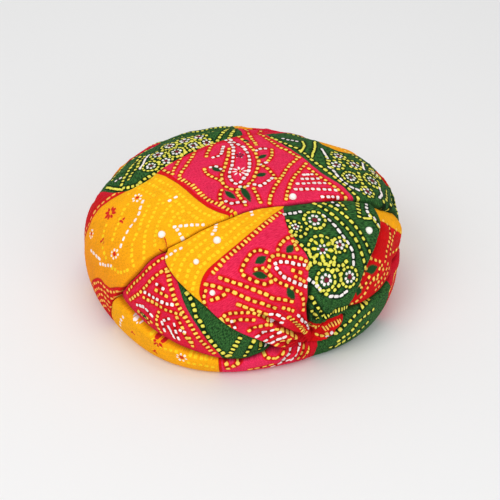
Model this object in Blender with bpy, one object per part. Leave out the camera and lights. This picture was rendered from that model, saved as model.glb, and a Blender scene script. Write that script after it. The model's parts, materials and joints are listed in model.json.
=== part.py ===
"""A tied turban pagri: a round, ready-wound turban of folded cotton that lies on its rim.

The turban is a low dome. Its cloth is laid out on a flat map of the dome, whose two columns are
millimetres to the right of the top of the crown and millimetres behind it, both measured over the
cloth. The fold lines are short tables on that map, and each wrap fills the map between its folds.
"""
import math

import bmesh
import bpy
import numpy as np
from mathutils import Vector

MM = 0.001

# Driving dimensions of the dome
WIDTH = 0.280
DEPTH = 0.250
HEIGHT = 0.119
BELLY_HEIGHT = 0.043
RIM_TUCK = 0.014
DOME_POWER = 2.7
LEAN_RIGHT = 0.0035
LEAN_BACK = 0.010
MIDDLE_RIGHT = 0.0011
MIDDLE_BACK = 0.0029

# Slight lobes of the hand-wound outline seen from above
PLAN_LOBES = (
    # lobes round, share along +X, share along +Y
    (3, 0.015, 0.014),
    (5, -0.017, 0.001),
)

# Cloth
WRAP_THICKNESS = 0.009
FLAT_RING = 0.012
LAYER_GAP = 0.0009
FOLD_GAP = 0.6
HEM_WIDTH = 3.0
FLOOR_TAPER = 30.0

# The hollow for the head
HOLLOW_WIDTH = 0.204
HOLLOW_DEPTH = 0.178
HOLLOW_HEIGHT = 0.100
HOLLOW_POWER = 2.8
HOLLOW_SIDES = 40
UNDER_WRAP_RINGS = 15
UNDER_WRAP_COLOUR = (0.55, 0.05, 0.07)
CLOTH_ROUGHNESS = 0.85

# Pearl studs: half-round, flat behind
PEARL_SIDES = 12
PEARL_LARGE = 0.0066
PEARL_SMALL = 0.0049
PEARL_RISE = 0.52
PEARL_GAP = 0.35
PEARL_COLOUR = (0.9, 0.88, 0.84)
PEARL_ROUGHNESS = 0.2
PEARLS = (
    # name, mm right, mm back, diameter, wrap that carries it
    ("pearl_1", -71, -80, PEARL_LARGE, "crown_wrap"),
    ("pearl_2", -22, -92, PEARL_LARGE, "front_wrap"),
    ("pearl_3", 41, -41, PEARL_LARGE, "crown_wrap"),
    ("pearl_4", 109, -60, PEARL_LARGE, "front_wrap"),
    ("pearl_5", -40, -110, PEARL_SMALL, "front_wrap"),
    ("pearl_6", -27, -138, PEARL_SMALL, "front_wrap"),
)

# Where folds start on the floor, in degrees round the turban from its right side
FLOOR_STARTS = {
    "left_crease": 208.9,
    "gather_line": 296.5,
    "back_hem_end": 163.8,
}
FULL_TURN = 360.0

# Fold lines on the map, each row one point: mm right, mm back
FOLDS = {
    "left_crease": ((-187, -107), (-171, -108), (-160, -107), (-146, -109)),
    "left_hem": ((-146, -109), (-124, -110), (-99, -106), (-85, -99), (-67, -93)),
    "front_hem": ((-67, -93), (-51, -87), (-34, -77), (-4, -61), (13, -55), (33, -51),
                  (70, -37), (96, -27), (114, -21)),
    "right_hem": ((114, -21), (131, -14), (146, -1), (158, 12), (166, 22)),
    "back_hem": ((-166, 34), (-135, 10), (-120, -1), (-104, -9), (-92, -6), (-83, 0), (-72, 14),
                 (-58, 28), (-40, 44), (-27, 53), (-1, 72), (25, 92), (45, 107)),
    "back_hem_foot": ((-190, 50), (-166, 34)),
    "back_hem_end": ((-206, 59), (-190, 50)),
    "rear_hem_end": ((186, 28), (166, 22)),
    "rear_hem_right": ((166, 22), (135, 46), (105, 72), (75, 93), (45, 107)),
    "rear_hem_left": ((-166, 34), (-150, 46), (-125, 64), (-95, 82), (-60, 96), (-20, 105),
                      (10, 108), (45, 107)),
    "fan_left": ((-67, -93), (-68, -104), (-61, -118), (-50, -132), (-35, -148), (-20, -164),
                 (-3, -176), (19, -185), (44, -194)),
    "fan_foot": ((44, -194), (62, -191), (88, -184)),
    "fan_right": ((114, -21), (119, -28), (123, -38), (123, -50), (119, -72), (114, -93),
                  (113, -111), (113, -126), (111, -139)),
    "fan_toe": ((111, -139), (100, -148), (92, -158), (89, -167), (89, -175)),
    "fan_end": ((88, -184), (89, -175)),
    "roll_top": ((-146, -109), (-132, -129), (-112, -154), (-91, -173), (-68, -188), (-33, -203),
                 (-3, -208), (20, -204), (44, -194)),
    "gather_line": ((95, -194), (88, -184)),
    "tuck_foot": ((111, -139), (114, -148), (112, -160), (104, -175), (88, -184)),
    "side_foot": ((111, -139), (126, -128), (139, -117), (158, -92), (172, -60), (181, -20),
                  (186, 28)),
    "rear_foot": ((186, 28), (172, 78), (140, 128), (92, 166), (35, 187), (-30, 188), (-90, 168),
                  (-140, 129), (-172, 83), (-190, 50)),
}

# Soft swellings of the wound cloth, and dents where the height is below zero
SWELLINGS = (
    # mm right, mm back, height in mm, reach in mm
    (156, -12, 4.0, 15.0),
    (110, -193, -6.0, 12.0),
    (168, -44, -3.5, 13.0),
    (147, 18, -3.0, 12.0),
    (68, 86, -3.5, 14.0),
    (-42, 98, -3.0, 18.0),
    (-140, 48, -2.5, 18.0),
)

# Valleys of the pleats that run out of the gather
GATHER = (86, -177)
PLEATS = (
    # heading in degrees, depth in mm, nearest mm, farthest mm, half width in mm
    (166, 3.2, 20, 72, 4.5),
    (150, 1.4, 20, 48, 4.0),
    (127, 4.4, 18, 56, 5.5),
    (100, 1.4, 16, 38, 4.0),
    (183, 1.8, 20, 44, 4.0),
    (204, 1.8, 18, 50, 4.0),
    (222, 2.2, 16, 44, 4.0),
    (243, 1.8, 14, 34, 3.5),
)
GATHER_DIP = 4.5
GATHER_REACH = 17.0

# How a wrap ends at a side: how far the cloth drops there, and over which width, in mm
EDGES = {
    "hem": (2.6, 3.2),
    "roll": (5.0, 9.0),
    "tucked": (2.2, 14.0),
    "deep": (3.4, 20.0),
    "plain": (0.0, 1.0),
    "floor": (0.0, 1.0),
}


def dome_profile():
    """Arc length, half width and height of the dome from its top to the floor, and of its base."""
    upper = np.linspace(0, math.pi / 2, 300)
    lower = np.linspace(0, math.pi / 2, 80)[1:]
    rise = HEIGHT - BELLY_HEIGHT
    spread_up = np.sin(upper) ** (2 / DOME_POWER)
    lift_up = np.cos(upper) ** (2 / DOME_POWER)
    half = WIDTH / 2
    radius = np.concatenate([half * spread_up, half - RIM_TUCK * (1 - np.cos(lower))])
    height = np.concatenate([BELLY_HEIGHT + rise * lift_up, BELLY_HEIGHT * (1 - np.sin(lower))])
    steps = np.hypot(np.diff(radius), np.diff(height))
    arc = np.concatenate([[0], np.cumsum(steps)])

    def base(depth):
        """Half width and height of the same dome, shrunk by a depth of cloth."""
        tuck = RIM_TUCK + FLAT_RING - WRAP_THICKNESS
        base_radius = np.concatenate([
            (half - depth) * spread_up,
            half - depth - tuck * (1 - np.cos(lower)),
        ])
        base_height = np.concatenate([
            BELLY_HEIGHT + (rise - depth) * lift_up,
            BELLY_HEIGHT * (1 - np.sin(lower)),
        ])
        return base_radius, base_height

    return arc, radius, height, base


ARC, RADIUS, RISE, BASE = dome_profile()
FLOOR_REACH = ARC[-1] / MM + 0.01
BASE_RADIUS, BASE_RISE = BASE(WRAP_THICKNESS)


def plan_point(radius, height, angle):
    """Place a profile point at an angle round the turban's slightly lobed, leaning plan."""
    swell = 1.0
    for count, along_x, along_y in PLAN_LOBES:
        swell += along_x * math.cos(count * angle) + along_y * math.sin(count * angle)
    return Vector((
        radius * swell * math.cos(angle) + LEAN_RIGHT * height / HEIGHT - MIDDLE_RIGHT,
        radius * swell * math.sin(angle) * DEPTH / WIDTH + LEAN_BACK * height / HEIGHT
        - MIDDLE_BACK,
        height,
    ))


def on_dome(right, back):
    """The dome's surface at a place on the map."""
    reach = math.hypot(right, back) * MM
    angle = math.atan2(back, right)
    return plan_point(np.interp(reach, ARC, RADIUS), np.interp(reach, ARC, RISE), angle)


def on_base(right, back):
    """The underside of the wraps at a place on the map."""
    reach = math.hypot(right, back) * MM
    angle = math.atan2(back, right)
    return plan_point(np.interp(reach, ARC, BASE_RADIUS), np.interp(reach, ARC, BASE_RISE), angle)


def normal_at(right, back):
    """The dome's outward direction at a place on the map."""
    step = 0.3
    along = on_dome(right + step, back) - on_dome(right - step, back)
    across = on_dome(right, back + step) - on_dome(right, back - step)
    return along.cross(across).normalized()


def raised(right, back, relief):
    """A point of cloth that stands a relief in mm off the dome, and still ends on the floor."""
    from_floor = (ARC[-1] / MM - math.hypot(right, back)) / FLOOR_TAPER
    ease = min(max(from_floor, 0.0), 1.0)
    return on_dome(right, back) + normal_at(right, back) * relief * ease * MM


def gather_relief(right, back):
    """Relief in mm of the pinched gather and of the pleats that run out of it."""
    out_x = right - GATHER[0]
    out_y = back - GATHER[1]
    distance = math.hypot(out_x, out_y)
    heading = math.degrees(math.atan2(out_y, out_x)) % 360
    relief = -GATHER_DIP * math.exp(-(distance / GATHER_REACH) ** 2)
    for direction, depth, nearest, farthest, half_width in PLEATS:
        turn = math.radians((heading - direction + 180) % 360 - 180)
        if abs(turn) > math.pi / 2 or distance > farthest:
            continue
        fade = max(distance - nearest, 0) / (farthest - nearest)
        rise = min(distance / nearest, 1.0)
        swell = rise * math.cos(math.pi / 2 * fade) ** 2
        relief -= depth * swell * math.exp(-(distance * math.sin(turn) / half_width) ** 2)
    return relief


def smooth_curve(points, samples=16):
    """A smooth line through the points of a table."""
    points = [np.array(point, float) for point in points]
    padded = [2 * points[0] - points[1], *points, 2 * points[-1] - points[-2]]
    line = []
    for before, start, end, after in zip(padded, padded[1:], padded[2:], padded[3:]):
        for step in range(samples):
            t = step / samples
            line.append(0.5 * (2 * start + (end - before) * t
                               + (2 * before - 5 * start + 4 * end - after) * t * t
                               + (3 * start - before - 3 * end + after) * t ** 3))
    line.append(points[-1])
    return np.array(line)


def fold(name, start=0.0, end=1.0):
    """A fold line between two shares of its length; a start past the end runs it backwards."""
    points = FOLDS[name]
    if name in FLOOR_STARTS:
        heading = FLOOR_STARTS[name]
        points = (floor_line(heading, heading)[0], *points)
    line = smooth_curve(points)
    first = round(start * (len(line) - 1))
    last = round(end * (len(line) - 1))
    if first <= last:
        return line[first:last + 1]
    return line[last:first + 1][::-1]


def floor_line(start, end):
    """The line along the floor between two headings in degrees."""
    angles = np.radians(np.linspace(start, end, 90))
    return FLOOR_REACH * np.stack([np.cos(angles), np.sin(angles)], axis=1)


def straight(start, end):
    """A straight line on the map between two places."""
    return np.array([start, end], float)


class Side:
    """One side of a wrap: fold lines joined end to end, each with its share of the side."""

    def __init__(self, *stretches):
        self.stretches = []
        start = 0.0
        for line, share in stretches:
            lengths = np.concatenate([[0], np.cumsum(np.hypot(*np.diff(line, axis=0).T))])
            self.stretches.append((start, start + share, line, lengths / lengths[-1]))
            start += share
        self.breaks = [stretch[1] for stretch in self.stretches[:-1]]

    def at(self, share):
        """The place on the map at a share of the side."""
        for start, end, line, fractions in self.stretches:
            if share <= end:
                break
        t = (share - start) / (end - start)
        return np.array([np.interp(t, fractions, line[:, axis]) for axis in (0, 1)])


def stations(count, breaks):
    """Shares from 0 to 1 in about even steps that keep every break."""
    marks = [0.0, *sorted(breaks), 1.0]
    shares = [0.0]
    for start, end in zip(marks, marks[1:]):
        steps = max(1, round((end - start) * count))
        shares += [start + (end - start) * (step + 1) / steps for step in range(steps)]
    return shares


def inset(shares, length, start_kind, end_kind):
    """The shares with both ends moved in by the fold gap, and a row added along each hem."""
    gap = min(FOLD_GAP / length, 0.2)
    hem = min(HEM_WIDTH / length, 0.5 * shares[1], 0.3)
    first = 0.0 if start_kind == "floor" else gap
    last = 1.0 if end_kind == "floor" else 1 - gap
    return [first, hem, *shares[1:-1], 1 - hem, last]


def patch_point(sides, along, across):
    """A place inside four sides, blended from all of them."""
    front, back, left, right = sides
    ruled = (1 - across) * front.at(along) + across * back.at(along)
    ends = (1 - along) * left.at(across) + along * right.at(across)
    front_blend = (1 - along) * front.at(0) + along * front.at(1)
    back_blend = (1 - along) * back.at(0) + along * back.at(1)
    return ruled + ends - (1 - across) * front_blend - across * back_blend


def edge_drop(kind, distance):
    """How far cloth drops at a distance in mm from a side of a kind."""
    drop, width = EDGES[kind]
    nearness = max(0.0, 1 - distance / width)
    return drop * nearness ** 2


def wrap_relief(wrap, along, across, length, breadth, place):
    """Relief in mm of a wrap's cloth at a place inside it."""
    front, back, left, right = wrap["edges"]
    swell = 16 * along * (1 - along) * across * (1 - across)
    relief = wrap["level"] + wrap["puff"] * swell
    relief -= edge_drop(front, across * breadth) + edge_drop(back, (1 - across) * breadth)
    relief -= edge_drop(left, along * length) + edge_drop(right, (1 - along) * length)
    for right, back, height, reach in SWELLINGS:
        away = math.hypot(place[0] - right, place[1] - back)
        relief += height * math.exp(-(away / reach) ** 2)
    return relief + gather_relief(*place)


def wrap_grid(wrap):
    """Rows of places on the map, each with its relief, that cover a wrap."""
    sides = wrap["sides"]
    front_kind, back_kind, left_kind, right_kind = wrap["edges"]
    cells_along, cells_across = wrap["cells"]
    along_shares = stations(cells_along, sides[0].breaks + sides[1].breaks)
    across_shares = stations(cells_across, sides[2].breaks + sides[3].breaks)
    length = np.linalg.norm(patch_point(sides, 0, 0.5) - patch_point(sides, 1, 0.5))
    rows = []
    for along in inset(along_shares, length, left_kind, right_kind):
        breadth = np.linalg.norm(patch_point(sides, along, 0) - patch_point(sides, along, 1))
        row = []
        for across in inset(across_shares, breadth, front_kind, back_kind):
            place = patch_point(sides, along, across)
            relief = wrap_relief(wrap, along, across, length, breadth, place)
            row.append((float(place[0]), float(place[1]), relief))
        rows.append(row)
    return rows


def add_material(name, colour, roughness):
    """A plain Principled material."""
    material = bpy.data.materials.new(name)
    material.use_nodes = True
    shader = material.node_tree.nodes["Principled BSDF"]
    shader.inputs["Base Color"].default_value = (*colour, 1.0)
    shader.inputs["Roughness"].default_value = roughness
    shader.inputs["Metallic"].default_value = 0.0
    return material


def add_object(name, bm, colour, roughness):
    """Close a mesh's normals outwards and add it to the scene as an object."""
    bmesh.ops.recalc_face_normals(bm, faces=bm.faces)
    mesh = bpy.data.meshes.new(name)
    bm.to_mesh(mesh)
    bm.free()
    mesh.materials.append(add_material(name, colour, roughness))
    mesh.shade_smooth()
    mesh.set_sharp_from_angle(angle=math.radians(40))
    item = bpy.data.objects.new(name, mesh)
    bpy.context.collection.objects.link(item)
    return item


def add_wrap(name, wrap):
    """A wrap as a closed wall: its outer cloth, extruded to the dome's base."""
    rows = wrap_grid(wrap)
    last_row = len(rows) - 1
    last_column = len(rows[0]) - 1
    bm = bmesh.new()
    bmesh.ops.create_grid(bm, x_segments=last_row, y_segments=last_column, size=1.0)
    map_place = bm.verts.layers.float_vector.new("map_place")
    for vert in bm.verts:
        row = round((vert.co.x + 1) / 2 * last_row)
        column = round((vert.co.y + 1) / 2 * last_column)
        vert[map_place] = rows[row][column]
        vert.co = raised(*rows[row][column])
    wall = bmesh.ops.extrude_face_region(bm, geom=list(bm.faces), use_keep_orig=True)
    for item in wall["geom"]:
        if isinstance(item, bmesh.types.BMVert):
            item.co = on_base(item[map_place].x, item[map_place].y)
    bm.verts.layers.float_vector.remove(map_place)
    return add_object(name, bm, wrap["colour"], CLOTH_ROUGHNESS)


def turned(profile, sides, place):
    """A closed solid turned from a profile of radius and height, each ring placed by a function."""
    bm = bmesh.new()
    verts = [bm.verts.new((radius, 0, height)) for radius, height in profile]
    edges = [bm.edges.new(pair) for pair in zip(verts, verts[1:])]
    bmesh.ops.spin(bm, geom=verts + edges, cent=(0, 0, 0), axis=(0, 0, 1),
                   angle=2 * math.pi, steps=sides, use_merge=True)
    bmesh.ops.remove_doubles(bm, verts=bm.verts, dist=1e-6)
    for vert in bm.verts:
        vert.co = place(math.hypot(vert.co.x, vert.co.y), vert.co.z,
                        math.atan2(vert.co.y, vert.co.x))
    return bm


def quarter(count):
    """Cosine and sine of even steps through a quarter turn, ending exactly on the axis."""
    angles = [math.pi / 2 * step / count for step in range(count)]
    return [(math.cos(angle), math.sin(angle)) for angle in angles] + [(0.0, 1.0)]


def place_under_wrap(radius, height, angle):
    """Rings of the hollow follow the head's oval, and the others the dome's plan."""
    share = (2 * radius / HOLLOW_WIDTH) ** HOLLOW_POWER + (height / HOLLOW_HEIGHT) ** HOLLOW_POWER
    if share < 1.01:
        oval = HOLLOW_DEPTH / HOLLOW_WIDTH
        return Vector((radius * math.cos(angle), radius * oval * math.sin(angle), height))
    return plan_point(radius, height, angle)


def add_under_wrap():
    """The innermost turns: a thick wound wall, open below, with a hollow for the head."""
    radius, height = BASE(WRAP_THICKNESS + LAYER_GAP)
    reaches = np.linspace(0, ARC[-1], UNDER_WRAP_RINGS)
    outer = [(float(np.interp(reach, ARC, radius)), float(np.interp(reach, ARC, height)))
             for reach in reaches]
    hollow = [(HOLLOW_WIDTH / 2 * out ** (2 / HOLLOW_POWER),
               HOLLOW_HEIGHT * up ** (2 / HOLLOW_POWER)) for out, up in quarter(9)]
    bm = turned(outer + hollow, HOLLOW_SIDES, place_under_wrap)
    return add_object("under_wrap", bm, UNDER_WRAP_COLOUR, CLOTH_ROUGHNESS)


def add_pearl(name, right, back, diameter, wrap):
    """A half-round pearl stud that lies on its wrap."""
    nearest = min((place for row in wrap_grid(wrap) for place in row),
                  key=lambda place: math.hypot(place[0] - right, place[1] - back))
    seat = raised(right, back, nearest[2] + PEARL_GAP)
    tilt = Vector((0, 0, 1)).rotation_difference(normal_at(right, back)).to_matrix()
    profile = [(0.0, 0.0)]
    profile += [(diameter / 2 * out, diameter * PEARL_RISE * up) for out, up in quarter(3)]

    def place(radius, height, angle):
        """A ring of the stud, turned to face out of the dome."""
        flat = Vector((radius * math.cos(angle), radius * math.sin(angle), height))
        return seat + tilt @ flat

    return add_object(name, turned(profile, PEARL_SIDES, place), PEARL_COLOUR, PEARL_ROUGHNESS)


def wraps():
    """Every wrap: its front, back, left and right sides on the map, how each ends, and its form."""
    pocket_front = fold("roll_top", 0, 0.96)
    pocket_back = fold("fan_left", 0, 0.97)
    lens_front = fold("back_hem", 0.03, 0.985)
    lens_back = fold("rear_hem_left", 0.04, 0.98)
    toe_front = fold("tuck_foot", 0.1, 1)
    toe_back = fold("fan_toe", 0.12, 1)
    return {
        "crown_wrap": {
            "sides": (
                Side((fold("left_crease"), 0.17), (fold("left_hem"), 0.17),
                     (fold("front_hem"), 0.5), (fold("right_hem"), 0.16)),
                Side((fold("back_hem_end"), 0.1), (fold("back_hem_foot"), 0.09),
                     (fold("back_hem"), 0.81)),
                Side((floor_line(FLOOR_STARTS["left_crease"], FLOOR_STARTS["back_hem_end"]), 1)),
                Side((fold("rear_hem_right"), 1)),
            ),
            "edges": ("hem", "hem", "floor", "tucked"),
            "level": 1.0,
            "puff": 0.8,
            "cells": (34, 10),
            "colour": (0.95, 0.45, 0.02),
        },
        "front_wrap": {
            "sides": (
                Side((fold("fan_left"), 0.8), (fold("fan_foot"), 0.2)),
                Side((fold("fan_right"), 0.74), (fold("fan_toe"), 0.26)),
                Side((fold("front_hem"), 1)),
                Side((fold("fan_end"), 1)),
            ),
            "edges": ("hem", "hem", "tucked", "plain"),
            "level": 0.8,
            "puff": 1.6,
            "cells": (23, 17),
            "colour": (0.02, 0.16, 0.06),
        },
        "brow_wrap": {
            "sides": (
                Side((pocket_front, 1)),
                Side((pocket_back, 1)),
                Side((fold("left_hem"), 1)),
                Side((straight(pocket_front[-1], pocket_back[-1]), 1)),
            ),
            "edges": ("deep", "tucked", "tucked", "plain"),
            "level": -1.6,
            "puff": 0.6,
            "cells": (15, 7),
            "colour": (0.75, 0.03, 0.12),
        },
        "side_wrap": {
            "sides": (
                Side((fold("side_foot"), 1)),
                Side((fold("right_hem"), 1)),
                Side((fold("fan_right", 1, 0), 1)),
                Side((fold("rear_hem_end"), 1)),
            ),
            "edges": ("tucked", "tucked", "tucked", "tucked"),
            "level": -1.8,
            "puff": 1.0,
            "cells": (14, 8),
            "colour": (0.7, 0.01, 0.02),
        },
        "back_left_wrap": {
            "sides": (
                Side((lens_front, 1)),
                Side((lens_back, 1)),
                Side((straight(lens_front[0], lens_back[0]), 1)),
                Side((straight(lens_front[-1], lens_back[-1]), 1)),
            ),
            "edges": ("tucked", "tucked", "plain", "plain"),
            "level": -0.6,
            "puff": 1.8,
            "cells": (18, 5),
            "colour": (0.02, 0.2, 0.07),
        },
        "rear_wrap": {
            "sides": (
                Side((fold("rear_foot"), 1)),
                Side((fold("rear_hem_right"), 0.36), (fold("rear_hem_left", 1, 0), 0.64)),
                Side((fold("rear_hem_end"), 1)),
                Side((fold("back_hem_foot"), 1)),
            ),
            "edges": ("deep", "hem", "hem", "tucked"),
            "level": 0.8,
            "puff": 0.8,
            "cells": (30, 6),
            "colour": (0.7, 0.03, 0.05),
        },
        "front_rim_roll": {
            "sides": (
                Side((floor_line(FLOOR_STARTS["left_crease"], FLOOR_STARTS["gather_line"]), 1)),
                Side((fold("roll_top"), 0.8), (fold("fan_foot"), 0.2)),
                Side((fold("left_crease"), 1)),
                Side((fold("gather_line"), 1)),
            ),
            "edges": ("floor", "roll", "tucked", "plain"),
            "level": 1.6,
            "puff": 0.4,
            "cells": (24, 5),
            "colour": (0.95, 0.42, 0.02),
        },
        "rear_rim_roll": {
            "sides": (
                Side((floor_line(FLOOR_STARTS["gather_line"],
                                 FULL_TURN + FLOOR_STARTS["back_hem_end"]), 1)),
                Side((fold("tuck_foot", 1, 0), 0.1), (fold("side_foot"), 0.3),
                     (fold("rear_foot"), 0.6)),
                Side((fold("gather_line"), 1)),
                Side((fold("back_hem_end"), 1)),
            ),
            "edges": ("floor", "roll", "plain", "tucked"),
            "level": 0.8,
            "puff": 0.4,
            "cells": (40, 4),
            "colour": (0.02, 0.16, 0.06),
        },
        "knot_tuck": {
            "sides": (
                Side((toe_front, 1)),
                Side((toe_back, 1)),
                Side((straight(toe_front[0], toe_back[0]), 1)),
                Side((fold("fan_end"), 1)),
            ),
            "edges": ("hem", "tucked", "plain", "plain"),
            "level": 1.0,
            "puff": 2.0,
            "cells": (8, 4),
            "colour": (0.8, 0.02, 0.03),
        },
    }


def main():
    """Clear the scene and build the turban, from its innermost turns outwards."""
    for item in list(bpy.data.objects):
        bpy.data.objects.remove(item)
    add_under_wrap()
    table = wraps()
    for name, wrap in table.items():
        add_wrap(name, wrap)
    for name, right, back, diameter, carrier in PEARLS:
        add_pearl(name, right, back, diameter, table[carrier])


main()
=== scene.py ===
"""A tied turban pagri: folded wraps of dotted patchwork cotton, wound into a round turban.

The wraps lie on a low dome. Places on it are given on a flat map, in millimetres to the right of
the top of the crown and behind it, measured over the cloth. Fold lines, the seams between dyed
patches and the dotted rows of the print are short charts of such places.
"""
import json
import logging
import math
from collections.abc import Callable
from dataclasses import dataclass, field
from enum import Enum
from functools import partial

import bmesh
import bpy
import numpy as np
from bpy.types import ID, Material, Mesh, Node, NodeSocket, NodeTree, Object
from mathutils import Vector, noise
from mathutils.kdtree import KDTree
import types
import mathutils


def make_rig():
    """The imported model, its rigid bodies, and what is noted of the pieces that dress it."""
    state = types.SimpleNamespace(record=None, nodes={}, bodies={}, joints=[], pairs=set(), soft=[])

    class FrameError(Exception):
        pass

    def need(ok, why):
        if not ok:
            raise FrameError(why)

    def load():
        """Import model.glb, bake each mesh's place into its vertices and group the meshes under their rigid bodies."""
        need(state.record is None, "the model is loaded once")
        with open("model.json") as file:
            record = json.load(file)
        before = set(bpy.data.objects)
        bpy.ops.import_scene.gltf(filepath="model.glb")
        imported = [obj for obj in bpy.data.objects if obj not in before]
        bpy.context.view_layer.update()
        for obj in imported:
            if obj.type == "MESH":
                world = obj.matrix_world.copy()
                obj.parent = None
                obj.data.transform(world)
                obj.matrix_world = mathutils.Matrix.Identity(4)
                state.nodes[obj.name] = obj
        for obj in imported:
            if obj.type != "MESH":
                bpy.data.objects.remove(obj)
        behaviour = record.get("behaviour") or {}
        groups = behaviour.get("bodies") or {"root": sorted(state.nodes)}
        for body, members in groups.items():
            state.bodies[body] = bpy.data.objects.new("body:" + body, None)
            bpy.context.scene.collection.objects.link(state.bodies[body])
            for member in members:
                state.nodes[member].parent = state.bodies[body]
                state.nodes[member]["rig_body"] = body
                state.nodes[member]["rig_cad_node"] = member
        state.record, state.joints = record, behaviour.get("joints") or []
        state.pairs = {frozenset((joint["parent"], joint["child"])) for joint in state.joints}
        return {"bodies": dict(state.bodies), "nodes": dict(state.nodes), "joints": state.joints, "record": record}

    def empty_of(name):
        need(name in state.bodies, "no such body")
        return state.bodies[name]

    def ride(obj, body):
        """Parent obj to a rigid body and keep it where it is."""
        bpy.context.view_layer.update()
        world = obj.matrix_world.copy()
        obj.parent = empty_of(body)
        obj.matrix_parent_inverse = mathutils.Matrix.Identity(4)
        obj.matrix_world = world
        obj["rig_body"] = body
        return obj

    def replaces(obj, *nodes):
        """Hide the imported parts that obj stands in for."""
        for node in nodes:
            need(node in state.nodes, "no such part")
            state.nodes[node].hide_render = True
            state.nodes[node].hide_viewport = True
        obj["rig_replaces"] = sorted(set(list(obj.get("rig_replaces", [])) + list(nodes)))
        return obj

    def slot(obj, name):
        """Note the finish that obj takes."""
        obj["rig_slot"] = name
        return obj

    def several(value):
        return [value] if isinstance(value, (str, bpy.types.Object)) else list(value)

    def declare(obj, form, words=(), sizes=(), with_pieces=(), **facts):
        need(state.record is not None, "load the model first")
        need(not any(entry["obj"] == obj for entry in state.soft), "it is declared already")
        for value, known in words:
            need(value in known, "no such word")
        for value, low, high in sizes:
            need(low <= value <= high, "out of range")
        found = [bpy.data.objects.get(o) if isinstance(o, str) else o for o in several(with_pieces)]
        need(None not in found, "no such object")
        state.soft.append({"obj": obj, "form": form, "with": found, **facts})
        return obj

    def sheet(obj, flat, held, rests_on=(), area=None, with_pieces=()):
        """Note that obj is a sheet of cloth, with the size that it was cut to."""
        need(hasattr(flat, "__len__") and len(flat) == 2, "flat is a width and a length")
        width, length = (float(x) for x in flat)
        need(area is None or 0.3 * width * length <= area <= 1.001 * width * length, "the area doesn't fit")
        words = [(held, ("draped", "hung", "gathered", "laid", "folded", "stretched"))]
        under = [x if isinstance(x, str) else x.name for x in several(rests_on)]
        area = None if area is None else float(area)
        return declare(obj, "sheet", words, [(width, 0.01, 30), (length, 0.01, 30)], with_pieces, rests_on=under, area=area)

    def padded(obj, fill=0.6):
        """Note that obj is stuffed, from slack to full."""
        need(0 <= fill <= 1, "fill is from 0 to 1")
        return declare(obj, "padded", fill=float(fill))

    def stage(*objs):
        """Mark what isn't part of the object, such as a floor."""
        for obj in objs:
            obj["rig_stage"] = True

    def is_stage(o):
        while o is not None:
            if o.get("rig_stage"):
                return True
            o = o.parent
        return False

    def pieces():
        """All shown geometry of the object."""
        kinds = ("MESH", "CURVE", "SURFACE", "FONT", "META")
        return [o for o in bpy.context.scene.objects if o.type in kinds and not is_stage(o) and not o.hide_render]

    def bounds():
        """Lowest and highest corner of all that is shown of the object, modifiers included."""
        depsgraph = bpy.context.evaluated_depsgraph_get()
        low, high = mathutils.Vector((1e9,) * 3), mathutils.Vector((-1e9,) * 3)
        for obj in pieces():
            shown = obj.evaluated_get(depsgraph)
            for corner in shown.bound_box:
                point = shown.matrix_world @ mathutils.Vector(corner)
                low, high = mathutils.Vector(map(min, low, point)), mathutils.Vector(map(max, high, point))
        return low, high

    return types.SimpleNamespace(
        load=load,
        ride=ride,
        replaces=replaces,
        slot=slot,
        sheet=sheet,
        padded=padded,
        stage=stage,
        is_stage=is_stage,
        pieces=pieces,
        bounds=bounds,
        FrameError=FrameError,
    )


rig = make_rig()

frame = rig.load()
CAD_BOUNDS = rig.bounds()

MM = 0.001
FULL_TURN = 360.0
SMOOTH_ANGLE = 60.0
SIZE_FILE = "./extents.json"
LOG = logging.getLogger("turban")

Array = np.ndarray
AddNode = Callable[..., Node]
# Settings of nodes that fade softly, and that mix colours
SMOOTH = {"interpolation_type": "SMOOTHSTEP"}
COLOUR = {"data_type": "RGBA"}


class Dye(Enum):
    """Ground colours of the patchwork, each with its channel in the ground attribute."""

    YELLOW = 0
    RED = 1
    GREEN = 2


class Ink(Enum):
    """Colours of the printed marks, each with its step in the ink ramp."""

    YELLOW = 0
    LEMON = 1
    ORANGE = 2
    WHITE = 3
    PALE = 4
    RED = 5
    MAROON = 6
    LEAF = 7


class Style(Enum):
    """Kinds of printed row: half size across it, half size along it and pitch, in mm."""

    DOTS = (1.4, 1.5, 4.8)
    BARS = (2.1, 1.15, 4.2)
    TICKS = (1.9, 0.75, 2.6)
    BEADS = (1.4, 1.9, 5.9)
    DASHES = (1.2, 2.1, 5.9)
    STROKE = (1.0, 1.4, 1.7)
    WIDE = (1.7, 1.65, 5.3)
    THREAD = (0.45, 1.2, 1.6)


class Edge(Enum):
    """Ways in which a wrap ends at a side: the drop of its cloth, and over which width, in mm."""

    HEM = (2.6, 3.2)
    ROLL = (5.0, 9.0)
    TUCKED = (2.2, 14.0)
    DEEP = (3.4, 20.0)
    PLAIN = (0.0, 1.0)
    FLOOR = (0.0, 2.0)

    def drop(self, distance: Array) -> Array:
        """How far the cloth drops at a distance from the side.

        Args:
            distance: Distances from the side in mm.

        Returns:
            Drops in mm: a quarter round for a hem or roll, and a soft dip for the others.
        """
        depth, width = self.value
        nearness = np.clip(1 - distance / width, 0, 1)
        if self in (Edge.HEM, Edge.ROLL):
            return depth * (1 - np.sqrt(1 - nearness ** 2))
        return depth * nearness ** 2


def polar(places: Array, middle: tuple[float, float] = (0.0, 0.0)) -> tuple[Array, Array]:
    """Distances in mm of places from a middle on the map, and their headings in radians."""
    right, back = np.moveaxis(places - np.array(middle, float), -1, 0)
    return np.hypot(right, back), np.arctan2(back, right)


def running(steps: Array) -> Array:
    """Running total of steps, from zero."""
    return np.concatenate([[0], np.cumsum(steps)])


def read_places(text: str | list[str]) -> Array:
    """Places on the map from words of text, each with mm right, a comma and mm back."""
    words = text.split() if isinstance(text, str) else text
    return np.array([word.split(",") for word in words], float)


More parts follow.
